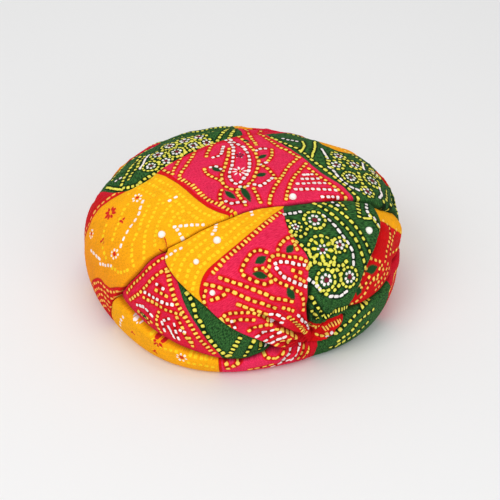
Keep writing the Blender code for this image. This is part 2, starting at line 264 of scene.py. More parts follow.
@dataclass
class Dome:
    """The turban's outer form, and the flat map of it."""

    width: float = 0.280
    depth: float = 0.250
    height: float = 0.119
    belly: float = 0.043
    rim_tuck: float = 0.014
    flat_ring: float = 0.012
    wrap_thickness: float = 0.009
    power: float = 2.7
    lean: tuple[float, float] = (0.0035, 0.010)
    middle: tuple[float, float] = (0.0011, 0.0029)
    lobes: tuple[tuple[int, float, float], ...] = ((3, 0.015, 0.014), (5, -0.017, 0.001))
    floor_taper: float = 30.0
    upper_steps: int = 1200
    lower_steps: int = 320

    def __post_init__(self) -> None:
        """Work out the profile from its sizes."""
        self.radius, self.rise = self.profile(0.0, self.rim_tuck)
        self.arc = running(np.hypot(np.diff(self.radius), np.diff(self.rise)))
        self.floor_reach = self.arc[-1] / MM + 0.01
        self.inner_tuck = self.rim_tuck + self.flat_ring - self.wrap_thickness
        self.base_radius, self.base_rise = self.profile(self.wrap_thickness, self.inner_tuck)

    def profile(self, inside: float, tuck: float) -> tuple[Array, Array]:
        """Half width and height of the dome from its top to the floor.

        Args:
            inside: Depth of cloth by which this profile is smaller, in metres.
            tuck: How far the rim comes in below the belly, in metres.

        Returns:
            Half widths and heights in metres.
        """
        upper = np.linspace(0, math.pi / 2, self.upper_steps)
        lower = np.linspace(0, math.pi / 2, self.lower_steps)[1:]
        half = self.width / 2 - inside
        top = self.height - self.belly - inside
        radius = np.concatenate([
            half * np.sin(upper) ** (2 / self.power),
            half - tuck * (1 - np.cos(lower)),
        ])
        rise = np.concatenate([
            self.belly + top * np.abs(np.cos(upper)) ** (2 / self.power),
            self.belly * (1 - np.sin(lower)),
        ])
        return radius, rise

    def plan(self, radius: Array, rise: Array, angle: Array) -> Array:
        """Points of the slightly lobed, leaning plan at a half width, height and angle.

        Args:
            radius: Half widths in metres.
            rise: Heights in metres.
            angle: Headings in radians.

        Returns:
            Points in metres.
        """
        swell = 1.0
        for count, along_x, along_y in self.lobes:
            swell = swell + along_x * np.cos(count * angle) + along_y * np.sin(count * angle)
        lean = rise / self.height
        across = radius * swell * np.sin(angle) * self.depth / self.width
        return np.stack([
            radius * swell * np.cos(angle) + self.lean[0] * lean - self.middle[0],
            across + self.lean[1] * lean - self.middle[1],
            rise + 0 * angle,
        ], axis=-1)

    def laid(self, places: Array, radius: Array, rise: Array) -> Array:
        """Points at places on the map, on the dome of a profile."""
        reach, angle = polar(places)
        return self.plan(*(np.interp(reach * MM, self.arc, part) for part in (radius, rise)),
                         angle)

    def outer(self, places: Array) -> Array:
        """Points of the dome's surface at places on the map, in metres."""
        return self.laid(places, self.radius, self.rise)

    def base(self, places: Array) -> Array:
        """Points of the wraps' underside at places on the map, in metres."""
        return self.laid(places, self.base_radius, self.base_rise)

    def normals(self, places: Array) -> Array:
        """Outward directions of the dome at places on the map."""
        right, back = np.eye(2) / 2
        facing = np.cross(self.outer(places + right) - self.outer(places - right),
                          self.outer(places + back) - self.outer(places - back))
        return facing / np.linalg.norm(facing, axis=-1, keepdims=True)

    def raised(self, places: Array, relief: Array) -> Array:
        """Points of cloth that stand a relief in mm off the dome, and still end on the floor."""
        ease = np.clip((self.floor_reach - polar(places)[0]) / self.floor_taper, 0, 1)
        lift = relief * ease * MM
        return self.outer(places) + self.normals(places) * lift[..., None]


@dataclass
class Gather:
    """The pinched gather at the lower right with its pleats, and the swelling at the right."""

    centre: tuple[float, float] = (86, -177)
    dip: float = 4.5
    reach: float = 17.0
    # fine creases: depth in mm, half width in mm, and the places that each runs through; the depth also sets how dark
    # the shade painted into each one is
    creases: tuple[tuple, ...] = (
        (3.4, 1.5, ((17, -160), (28, -164), (39, -170), (51, -174), (63, -177), (75, -178))),
        (4.2, 1.7, ((60, -130), (63, -144), (66, -153), (71, -160), (78, -166), (86, -172))),
        (2.0, 1.3, ((44, -186), (56, -183), (67, -182), (78, -179))),
        (1.3, 1.3, ((22, -151), (38, -156), (50, -163), (62, -170))),
        (1.2, 1.4, ((-7, -164), (7, -170), (26, -177))),
        (2.4, 1.4, ((80, -182), (71, -188), (60, -197), (54, -208))),
        (2.4, 1.4, ((84, -183), (82, -195), (78, -207))),
        (1.8, 1.4, ((70, -184), (50, -191), (30, -197), (14, -200))),
        (1.6, 1.0, ((-70, -84), (-67, -90), (-66, -98))),
        (1.5, 1.2, ((88, -158), (94, -164), (96, -172))),
        (1.2, 1.2, ((97, -152), (101, -160), (101, -168))),
        (-2.2, 4.2, ((44, -157), (53, -162), (62, -166), (71, -170))),
        (4.0, 2.7, ((22, -191), (29, -192), (37, -194), (45, -195))),
    )
    # fine pleats round the gather: depth in mm, count round it, distance and spread in mm
    fan: tuple[float, ...] = (1.3, 24, 27, 15)
    # how they sway, how often round the gather, and the mm outwards over which they turn
    fan_wander: tuple[float, ...] = (0.8, 3, 44)
    # painted shade between them, and the share of their height that it takes in
    fan_shade: tuple[float, float] = (0.6, 0.3)
    # crease depth in mm at which the painted shade is darkest
    crushed_depth: float = 4.0
    # soft swellings, and dents below zero: mm right, mm back, height in mm, reach in mm
    swellings: tuple[tuple[float, ...], ...] = (
        (156, -12, 4.0, 15.0),
        (110, -193, -6.0, 12.0),
        (170, -46, -6.0, 13.0),
        (147, 18, -3.0, 12.0),
        (74, 94, -6.0, 15.0),
        (-42, 98, -3.0, 18.0),
        (-140, 48, -2.5, 18.0),
    )
    # heading in degrees, depth in mm, nearest mm, farthest mm, half width in mm
    pleats: tuple[tuple[float, ...], ...] = (
        (166, 3.2, 20, 72, 4.5),
        (150, 1.4, 20, 48, 4.0),
        (127, 4.4, 18, 56, 5.5),
        (100, 1.4, 16, 38, 4.0),
        (183, 1.8, 20, 44, 4.0),
        (204, 1.8, 18, 50, 4.0),
        (222, 2.2, 16, 44, 4.0),
        (243, 1.8, 14, 34, 3.5),
    )

    def relief(self, places: Array) -> Array:
        """Relief in mm of the gather and its pleats at places on the map.

        Args:
            places: Places on the map.

        Returns:
            The relief at each, below zero in a valley.
        """
        distance, heading = polar(places, self.centre)
        heading = np.degrees(heading)
        relief = -self.dip * np.exp(-(distance / self.reach) ** 2)
        for direction, depth, nearest, farthest, half_width in self.pleats:
            turn = np.radians((heading - direction + 180) % FULL_TURN - 180)
            fade = np.clip((distance - nearest) / (farthest - nearest), 0, 1)
            swell = np.minimum(distance / nearest, 1) * np.cos(math.pi / 2 * fade) ** 2
            beside = distance * np.sin(turn) / half_width
            valley = depth * swell * np.exp(-beside ** 2)
            relief = relief - np.where(np.abs(turn) < math.pi / 2, valley, 0)
        for depth, half_width, path in self.creases:
            relief = relief - depth * self.nearness(places, path, half_width)
        ridges, reach = self.fan_pleats(places)
        relief = relief + self.fan[0] * reach * (2 * ridges ** 0.8 - 1)
        for right, back, height, reach in self.swellings:
            away, _ = polar(places, (right, back))
            relief = relief + height * np.exp(-(away / reach) ** 2)
        return relief

    def nearness(self, places: Array, path: tuple, half_width: float) -> Array:
        """How near places are to a crease, from 0 to 1 on it."""
        away = beyond(places.reshape(-1, 2), smooth_curve(path, 6)).reshape(places.shape[:-1])
        return np.exp(-(away / half_width) ** 2)

    def fan_pleats(self, places: Array) -> tuple[Array, Array]:
        """Height of the fine pleats from 0 to 1, and how far they reach at the same places.

        Args:
            places: Places on the map.

        Returns:
            The heights, and the shares of them that are left away from the gather.
        """
        _, count, middle, spread = self.fan
        distance, heading = polar(places, self.centre)
        sway, times, turn = self.fan_wander
        wander = sway * np.sin(heading * times) + distance / turn
        ridges = np.abs(np.sin(heading * count / 2 + wander))
        return ridges, np.exp(-((distance - middle) / spread) ** 2)

    def crushed(self, places: Array) -> Array:
        """How dark the shade painted into the pinched creases and between the fine pleats is at places, from 0 to 1;
        it follows how deep they lie.

        Args:
            places: Places on the map.

        Returns:
            The painted shade at each, where 1 is the darkest crease.
        """
        ridges, reach = self.fan_pleats(places)
        darkness, height = self.fan_shade
        deepest = darkness * reach * np.exp(-(ridges / height) ** 2)
        for depth, half_width, path in self.creases:
            share = np.clip(depth / self.crushed_depth, 0, 1)
            deepest = np.maximum(deepest, share * self.nearness(places, path, half_width))
        return deepest


DOME = Dome()
GATHER = Gather()

# Where folds start on the floor, in degrees round the turban from its right side
FLOOR_STARTS = {
    "left_crease": 208.9,
    "gather_line": 296.5,
    "back_hem_end": 163.8,
}

# Fold lines on the map, each place as mm right, mm back
FOLDS = {
    "left_crease": "-187,-107 -171,-108 -160,-107 -146,-109",
    "left_hem": "-146,-109 -124,-110 -99,-106 -85,-99 -67,-93",
    "front_hem": "-67,-93 -51,-87 -34,-77 -4,-61 13,-55 33,-51 70,-37 96,-27 114,-21",
    "right_hem": "114,-21 131,-14 146,-1 158,12 166,22",
    "back_hem": "-166,34 -135,10 -120,-1 -104,-9 -92,-6 -83,0 -72,14 -58,28 -40,44 -27,53 -1,72 "
            "25,92 45,107",
    "back_hem_foot": "-190,50 -166,34",
    "back_hem_end": "-206,59 -190,50",
    "rear_hem_end": "186,28 166,22",
    "rear_hem_right": "166,22 135,46 105,72 75,93 45,107",
    "rear_hem_left": "-166,34 -150,46 -125,64 -95,82 -60,96 -20,105 10,108 45,107",
    "fan_left": "-67,-93 -68,-104 -61,-118 -50,-132 -35,-148 -20,-164 -3,-176 19,-185 44,-194",
    "fan_foot": "44,-194 62,-191 88,-184",
    "fan_right": "114,-21 119,-28 123,-38 123,-50 119,-72 114,-93 113,-111 113,-126 111,-139",
    "fan_toe": "111,-139 100,-148 92,-158 89,-167 89,-175",
    "fan_end": "88,-184 89,-175",
    "roll_top": "-146,-109 -132,-129 -112,-154 -91,-173 -68,-188 -33,-203 -3,-208 20,-204 44,-194",
    "gather_line": "95,-194 88,-184",
    "tuck_foot": "111,-139 114,-148 112,-160 104,-175 88,-184",
    "side_foot": "111,-139 126,-128 139,-117 158,-92 172,-60 181,-20 186,28",
    "rear_foot": "186,28 172,78 140,128 92,166 35,187 -30,188 -90,168 -140,129 -172,83 -190,50",
}

# Seams between dyed patches, in the same places; a patch lies to the left or right of their run
SEAMS = {
    "crown_yellow_pink": "-90,18 -77,5 -63,-12 -48,-36 -29,-56 -13,-65 4,-72",
    "crown_pink_green": "8,92 21,73 34,50 50,23 67,1 84,-13 95,-27 103,-38",
    "crown_green_yellow": "66,104 65,84 67,68 71,58 78,53 86,52 93,56 99,64 108,80",
    "crown_red_yellow": "-92,-2 -104,-10 -122,-13 -134,-14 -144,-17 -153,-19 -165,-15 -190,-8 "
            "-230,4",
    "crown_dark_yellow": "-232,-16 -200,-44 -180,-60 -161,-76 -148,-96 -126,-108 -112,-118",
    "fan_yellow_pink": "48,-34 31,-58 12,-79 -4,-95 -18,-108 -32,-120 -38,-135 -36,-147 -40,-166",
    "fan_pink_green": "31,-42 33,-60 36,-80 46,-97 55,-110 58,-135 68,-155 76,-164 88,-178",
    "toe_red": "120,-134 112,-142 99,-147 92,-154 86,-161 77,-163 70,-162",
    "back_red_green": "-178,66 -150,42 -137,25 -125,8 -115,-3 -104,-12",
    "back_green_pink": "2,58 -1,72 -5,89 -8,97 -14,112",
    "brow_pink_green": "-64,-106 -58,-124 -53,-144 -46,-162 -37,-181 -28,-195 -20,-214",
    "side_red_orange": "96,-30 111,-33 120,-36 138,-31 152,-24 168,-12 192,4",
    "rim_yellow_pink": "-34,-180 -31,-192 -30,-196 -29,-204 -30,-218 -32,-236",
}


def smooth_curve(points: Array, samples: int = 16) -> Array:
    """A smooth line through the places of a table.

    Args:
        points: Places on the map.
        samples: Steps between one place and the next.

    Returns:
        Places close together along the line.
    """
    points = np.array(points, float)
    ends = (2 * points[:1] - points[1:2], points, 2 * points[-1:] - points[-2:-1])
    padded = np.concatenate(ends)
    share = (np.arange(samples) / samples)[:, None]
    line = []
    for before, start, end, after in zip(padded, padded[1:], padded[2:], padded[3:]):
        line.append(0.5 * (2 * start + (end - before) * share
                           + (2 * before - 5 * start + 4 * end - after) * share ** 2
                           + (3 * start - before - 3 * end + after) * share ** 3))
    return np.concatenate([*line, points[-1:]])


def floor_line(start: float, end: float) -> Array:
    """The line along the floor between two headings in degrees."""
    angles = np.radians(np.linspace(start, end, 90))
    return DOME.floor_reach * np.stack([np.cos(angles), np.sin(angles)], axis=1)


def fold(name: str, start: float = 0.0, end: float = 1.0) -> Array:
    """A fold line between two shares of its length.

    Args:
        name: Its name in the table of folds.
        start: Share of the length where it starts.
        end: Share where it ends; an end before the start runs the line backwards.

    Returns:
        Places along the line.
    """
    points = read_places(FOLDS[name])
    if name in FLOOR_STARTS:
        heading = FLOOR_STARTS[name]
        points = np.concatenate([floor_line(heading, heading)[:1], points])
    line = smooth_curve(points)
    first = round(start * (len(line) - 1))
    last = round(end * (len(line) - 1))
    if first <= last:
        return line[first:last + 1]
    return line[last:first + 1][::-1]


def seam_line(name: str, samples: int) -> Array:
    """A seam between patches, with a number of steps between the places of its chart."""
    return smooth_curve(read_places(SEAMS[name]), samples)


def straight(start: Array, end: Array) -> Array:
    """A straight line on the map between two places."""
    return np.array([start, end], float)


def beyond(places: Array, line: Array) -> Array:
    """How far places lie to the left of a line's run.

    Args:
        places: Places on the map, one a row.
        line: Places along the line.

    Returns:
        Distances in mm, below zero to the right of the line.
    """
    nearest = np.full(len(places), np.inf)
    signed = np.zeros(len(places))
    for start, end in zip(line, line[1:]):
        step = end - start
        share = np.clip((places - start) @ step / (step @ step), 0, 1)
        offset = places - start - share[:, None] * step
        distance = np.hypot(offset[:, 0], offset[:, 1])
        side = step[0] * offset[:, 1] - step[1] * offset[:, 0]
        closer = distance < nearest
        nearest = np.where(closer, distance, nearest)
        signed = np.where(closer, np.copysign(distance, side), signed)
    return signed


class Side:
    """One side of a wrap: lines joined end to end, each with its share of the side."""

    def __init__(self, given: str | Array | tuple) -> None:
        """Join the lines.

        Args:
            given: A line or a fold's name, or a tuple of them with each one's share after it.
        """
        given = given if isinstance(given, tuple) else (given, 1)
        self.stretches = []
        start = 0.0
        for line, share in zip(given[::2], given[1::2]):
            line = fold(line) if isinstance(line, str) else line
            lengths = running(np.hypot(*np.diff(line, axis=0).T))
            self.stretches.append((start, share, line, lengths / lengths[-1]))
            start += share
        self.breaks = [stretch[0] for stretch in self.stretches[1:]]

    def at(self, shares: Array) -> Array:
        """Places on the map at shares of the side.

        Args:
            shares: Shares of its length from its start.

        Returns:
            The places, one for each share.
        """
        shares = np.asarray(shares, float)
        places = np.zeros((*shares.shape, 2))
        for start, share, line, fractions in self.stretches:
            along = (shares - start) / share
            here = shares >= start
            for axis in (0, 1):
                found = np.interp(along, fractions, line[:, axis])
                places[..., axis] = np.where(here, found, places[..., axis])
        return places


@dataclass(frozen=True)
class Patch:
    """A sewn patch of one dye, bounded by seams or by headings in degrees round the turban."""

    dye: Dye
    shade: float
    bounds: tuple[tuple[str, int], ...] = ()
    headings: tuple[float, ...] = ()
    unbounded: float = 99.0

    @classmethod
    def read(cls, text: str) -> "Patch":
        """Read a patch from its chart.

        Args:
            text: Its dye and shade, and then its two headings with a colon between them, or seams
                with a plus where it lies to the left of a seam's run and a minus to the right.

        Returns:
            The patch.
        """
        dye, shade, *bounds = text.split()
        if bounds and ":" in bounds[0]:
            headings = tuple(float(heading) for heading in bounds[0].split(":"))
            return cls(Dye[dye.upper()], float(shade), headings=headings)
        return cls(Dye[dye.upper()], float(shade),
                   tuple((bound[1:], 1 if bound[0] == "+" else -1) for bound in bounds))

    def depth(self, places: Array) -> Array:
        """Distances in mm of places inside the patch, below zero outside it.

        Args:
            places: Places on the map, one a row.

        Returns:
            The distances from its nearest seam.
        """
        depth = np.full(len(places), self.unbounded)
        for name, side in self.bounds:
            depth = np.minimum(depth, side * beyond(places, seam_line(name, 6)))
        if self.headings:
            reach, heading = polar(places)
            start, end = self.headings
            turn = np.abs((np.degrees(heading) - (start + end) / 2 + 180) % FULL_TURN - 180)
            depth = np.minimum(depth, np.radians((end - start) / 2 - turn) * reach)
        return depth


def kd_tree(points: Array) -> KDTree:
    """A tree that finds the nearest of some points."""
    tree = KDTree(len(points))
    for index, point in enumerate(points):
        tree.insert(point, index)
    tree.balance()
    return tree


def place_in_marks(offsets: Array, marks: Array) -> Array:
    """Where offsets in mm from marks' middles lie in them, as shares of their half sizes."""
    return np.stack([(offsets * marks[..., axis:axis + 3]).sum(axis=-1) / marks[..., half]
                     for axis, half in ((3, 9), (6, 10))], axis=-1)


@dataclass
class Print:
    """The dotted print of one wrap, laid on the dome as separate marks."""

    patches: tuple[Patch, ...]
    seed: int
    rim_shade: float
    # each mark's middle, direction and sideways direction, half sizes along and across, and code
    marks: list[Array] = field(default_factory=list)
    trails: list[Array] = field(default_factory=list)
    position_spread: float = 0.2
    size_spread: float = 0.14
    gather_shade: float = 0.55
    # distances in mm: between a field's marks, from seams, and the farthest noted from a row
    field_clearance: float = 4.2
    seam_clearance: float = 2.2
    far: float = 20.0
    # how far the print looks round a mark for faces: share of its half size, and most mm more
    search: tuple[float, float] = (1.25, 3.0)
    # mm from the top where the rim's deeper shade starts, and over which it comes in
    rim_fade: tuple[float, float] = (95.0, 90.0)
    # mm from the gather over which its deeper shade fades, and its strength at the middle
    gather_fade: tuple[float, float] = (50.0, 1.5)
    ruled_steps: int = 30

    def __post_init__(self) -> None:
        """Start the hand-tied irregularity from a fixed seed."""
        self.random = np.random.default_rng(self.seed)

    def draw(self, chart: str, wrap: "Wrap") -> None:
        """Draw a chart's figures in their order.

        Args:
            chart: Its text. A line that starts with a word starts a figure, one that starts with
                "#" is a comment, and any other goes on with the figure before it.
            wrap: The wrap that carries them, for rows ruled across it.
        """
        figures = []
        for words in (line.split() for line in chart.strip().splitlines()):
            if words[0].isalpha():
                figures.append(words)
            elif words[0] != "#":
                figures[-1] += words
        for figure in figures:
            match figure:
                case ["leaf", width, *tips]:
                    self.leaf(read_places(tips), float(width))
                case ["flower", kind, size, place]:
                    self.flower(read_places(place), float(size), FLOWERS[kind])
                case ["ruled", style, ink, across, start, end]:
                    along = np.linspace(float(start), float(end), self.ruled_steps)
                    path = wrap.patch_points(along, 0 * along + float(across))
                    self.row(Style[style.upper()], Ink[ink.upper()], path)
                case ["beside", seam, style, ink, dye, *offsets]:
                    self.rows_beside(seam, [float(offset) for offset in offsets],
                                     Style[style.upper()], Ink[ink.upper()], Dye[dye.upper()])
                case [style, ink, *words]:
                    for path in " ".join(words).split("/"):
                        self.row(Style[style.upper()], Ink[ink.upper()], read_places(path))

    def ground(self, places: Array) -> Array:
        """Depth in mm inside each dye's patches, one column for each dye.

        Args:
            places: Places on the map, one a row.

        Returns:
            The depths, below zero outside.
        """
        ground = np.full((len(places), len(Dye)), -99.0)
        for patch in self.patches:
            column = patch.dye.value
            ground[:, column] = np.maximum(ground[:, column], patch.depth(places))
        return ground

    def shade(self, places: Array) -> Array:
        """Shade of the patch at each place, deeper towards the rim and the gather.

        Args:
            places: Places on the map, one a row.

        Returns:
            The shades, from 0 for the first colour of a dye to 1 for the second.
        """
        depths = np.stack([patch.depth(places) for patch in self.patches], axis=1)
        start, width = self.rim_fade
        deeper = self.rim_shade * np.clip((polar(places)[0] - start) / width, 0, 1)
        reach, most = self.gather_fade
        to_gather = polar(places, GATHER.centre)[0]
        deeper = deeper + self.gather_shade * np.clip(most - to_gather / reach, 0, 1)
        return np.array([patch.shade for patch in self.patches])[depths.argmax(axis=1)] + deeper

    def add_marks(self, places: Array, along: Array, sizes: tuple[float, float],
                  ink: Ink, leaf: bool = False) -> None:
        """Lay marks on the dome.

        Args:
            places: Their places on the map.
            along: Their long directions as points of space.
            sizes: Half size across and along, in mm.
            ink: Their colour; yellow turns to lemon on the green patches, as the dyes do.
            leaf: Whether they are pointed leaves, not rounded squares.
        """
        centres = DOME.outer(places) / MM
        normals = DOME.normals(places)
        along = along - (along * normals).sum(axis=1, keepdims=True) * normals
        along = along / np.linalg.norm(along, axis=1, keepdims=True)
        across = np.cross(normals, along)
        dyes = self.ground(places).argmax(axis=1)
        for centre, tangent, sideways, dye in zip(centres, along, across, dyes):
            shift = self.random.normal(0, self.position_spread, 2)
            grow = 1 + self.random.uniform(-self.size_spread, self.size_spread)
            on_green = ink is Ink.YELLOW and dye == Dye.GREEN.value
            code = (Ink.LEMON if on_green else ink).value + (LEAF_CODE if leaf else 0)
            centre = centre + tangent * shift[0] + sideways * shift[1]
            self.marks.append(np.array([*centre, *tangent, *sideways, sizes[1] * grow,
                                        sizes[0] * grow, code]))

    def row(self, style: Style, ink: Ink, path: Array, inside: Dye | None = None) -> None:
        """Lay a row of marks along a line.

        Args:
            style: The kind of mark.
            ink: Their colour.
            path: Places that the row runs through.
            inside: A dye whose patches the row stays in, clear of marks laid before.
        """
        half_across, half_along, pitch = style.value
        line = smooth_curve(path, 10)
        points = DOME.outer(line) / MM
        lengths = running(np.linalg.norm(np.diff(points, axis=0), axis=1))
        count = max(1, round(lengths[-1] / pitch))
        stops = np.linspace(0, lengths[-1], count + 1)
        places = np.stack([np.interp(stops, lengths, line[:, axis]) for axis in (0, 1)], axis=1)
        ahead = np.stack([np.interp(stops + 0.6, lengths, points[:, axis])
                          - np.interp(stops - 0.6, lengths, points[:, axis])
                          for axis in (0, 1, 2)], axis=1)
        if inside is not None:
            free = self.ground(places)[:, inside.value] > self.seam_clearance
            free &= self.clear_of_marks(places)
            places, ahead = places[free], ahead[free]
            if not len(places):
                return
        self.add_marks(places, ahead, (half_across, half_along), ink)
        if ink not in (Ink.PALE, Ink.RED):
            self.trails.append(DOME.outer(places) / MM)
            if inside is None:
                self.trails.append(points[::2])

    def clear_of_marks(self, places: Array) -> Array:
        """Whether each place is clear of the marks laid so far."""
        if not self.marks:
            return np.ones(len(places), bool)
        points = DOME.outer(places) / MM
        gaps = np.linalg.norm(points[:, None] - np.array(self.marks)[None, :, :3], axis=2)
        return gaps.min(axis=1) > self.field_clearance

    def leaf(self, tips: Array, width: float) -> None:
        """Lay one pointed leaf between its two tips.

        Args:
            tips: Its two tips on the map.
            width: Its width in mm.
        """
        points = DOME.outer(tips) / MM
        span = points[1] - points[0]
        middle = tips.mean(axis=0, keepdims=True)
        sizes = (width / 2, np.linalg.norm(span) / 2)
        self.add_marks(middle, span[None], sizes, Ink.LEAF, True)

    def flower(self, middle: Array, size: float, rings: tuple[str, ...]) -> None:
        """Lay a flower of rings of marks.

        Args:
            middle: Its middle on the map, as one row.
            size: Its half width in mm.
            rings: Each ring's ink, form, count, share of the size out from the middle, and half
                sizes across and along as shares of the size.
        """
        right = DOME.outer(middle + [1, 0]) - DOME.outer(middle)
        normal = DOME.normals(middle)
        right = right / np.linalg.norm(right)
        back = np.cross(normal, right)
        stretch = (DOME.outer(middle + np.eye(2)) - DOME.outer(middle)) / MM
        basis = np.array([[vector @ right[0], vector @ back[0]] for vector in stretch])
        for ring in rings:
            ink, form, *numbers = ring.split()
            count, out, half_across, half_along = map(float, numbers)
            angles = 2 * math.pi * (np.arange(count) + 0.25) / count
            flat = out * size * np.stack([np.cos(angles), np.sin(angles)], axis=1)
            places = middle + flat @ np.linalg.inv(basis)
            spoke = np.cos(angles)[:, None] * right + np.sin(angles)[:, None] * back
            self.add_marks(places, spoke, (half_across * size, half_along * size),
                           Ink[ink.upper()], form == "leaf")
            if ink == "yellow":
                self.trails.append(DOME.outer(places) / MM)

    def rows_beside(self, seam: str, offsets: list[float], style: Style, ink: Ink,
                    inside: Dye) -> None:
        """Lay rows that follow a seam at distances in mm from it, within one dye's patches.

        Args:
            seam: The seam's name.
            offsets: The rows' distances in mm to the left of its run.
            style: The kind of mark.
            ink: Their colour.
            inside: The dye whose patches the rows stay in.
        """
        line = seam_line(seam, 4)
        run = np.gradient(line, axis=0)
        leftward = np.stack([-run[:, 1], run[:, 0]], axis=1)
        leftward /= np.linalg.norm(leftward, axis=1, keepdims=True)
        for offset in offsets:
            self.row(style, ink, (line + leftward * offset)[::4], inside)

    def dress(self, mesh: Mesh, places: Array) -> None:
        """Write the print's attributes to a mesh of four-sided faces.

        Args:
            mesh: The mesh of the wrap.
            places: The place on the map of each vertex.
        """
        write_attribute(mesh, "ground", self.ground(places))
        write_attribute(mesh, "shade", self.shade(places))
        points = DOME.outer(places) / MM
        write_attribute(mesh, "from_row", self.distances_to_rows(points))
        corners = corner_vertices(mesh).reshape(-1, 4)
        for layer, chosen in zip(("mark_over", "mark_under"), self.nearest_marks(points, corners)):
            values = self.mark_coordinates(points, corners, chosen)
            write_attribute(mesh, layer, values, "CORNER")

    def distances_to_rows(self, points: Array) -> Array:
        """Distance in mm from each point to the nearest printed row, up to the farthest kept."""
        if not self.trails:
            return np.full(len(points), self.far)
        tree = kd_tree(np.concatenate(self.trails))
        return np.array([min(tree.find(point)[2], self.far) for point in points])

    def nearest_marks(self, points: Array, corners: Array) -> list[Array]:
        """The two marks that cover each face best.

        Args:
            points: The vertices on the dome, in mm.
            corners: The four vertices of each face.

        Returns:
            Two lists with the index of a mark for each face, or -1 for none.
        """
        centres = points[corners].mean(axis=1)
        reach = np.linalg.norm(points[corners] - centres[:, None], axis=2).max(axis=1)
        tree = kd_tree(centres)
        share, most = self.search
        widest = min(reach.max(), most)
        pairs = [(face, index) for index, mark in enumerate(self.marks)
                 for _, face, _ in tree.find_range(mark[:3], mark[9:11].max() * share + widest)]
        chosen = [np.full(len(corners), -1), np.full(len(corners), -1)]
        if not pairs:
            return chosen
        faces, indices = np.array(pairs).T
        marks = np.array(self.marks)[indices]
        shares = place_in_marks(centres[faces] - marks[:, :3], marks)
        order = np.lexsort((np.hypot(*shares.T), faces))
        faces, indices = faces[order], indices[order]
        first = np.concatenate([[True], faces[1:] != faces[:-1]])
        chosen[0][faces[first]] = indices[first]
        second = np.concatenate([[False], first[:-1]]) & ~first
        chosen[1][faces[second]] = indices[second]
        return chosen

    def mark_coordinates(self, points: Array, corners: Array, chosen: Array) -> Array:
        """Where face corners lie in their marks.

        Args:
            points: The vertices on the dome, in mm.
            corners: The four vertices of each face.
            chosen: The index of each face's mark, or -1 for none.

        Returns:
            For each corner, its place in the mark as shares of the half sizes, and the ink code.
        """
        values = np.full((*corners.shape, 3), NO_MARK)
        faces = np.nonzero(chosen >= 0)[0]
        if len(faces):
            marks = np.array(self.marks)[chosen[faces], None]
            values[faces, :, :2] = place_in_marks(points[corners[faces]] - marks[..., :3], marks)
            values[faces, :, 2] = marks[..., 11]
        return values.reshape(-1, 3)


# Added to the ink's number for a leaf, and what stands for a place outside every mark
LEAF_CODE = 16
NO_MARK = 9.0

# Rings of the printed flowers: ink, form, count, share out, half sizes across and along
FLOWERS = {
    "ring": ("maroon dot 1 0 .22 .22", "white dot 5 .42 .15 .15", "yellow dot 8 .85 .2 .155"),
    "petals": ("red leaf 8 .6 .2 .38",),
    "spark": ("red dot 1 0 .28 .28", "white dot 7 .68 .16 .18"),
    "mark": ("red leaf 3 .45 .3 .5",),
    "rosette": ("yellow dot 1 0 .1 .1", "white leaf 8 .58 .1 .32"),
    "dark": ("maroon leaf 5 .5 .26 .4", "white dot 5 .8 .1 .1"),
    "wheel": ("maroon dot 1 0 .2 .2", "white dot 7 .42 .12 .12", "yellow dot 12 .86 .165 .12"),
    "blossom": ("maroon dot 1 0 .14 .14", "white dot 6 .28 .08 .09", "yellow leaf 8 .58 .12 .22",
                "yellow dot 15 .97 .14 .1"),
}


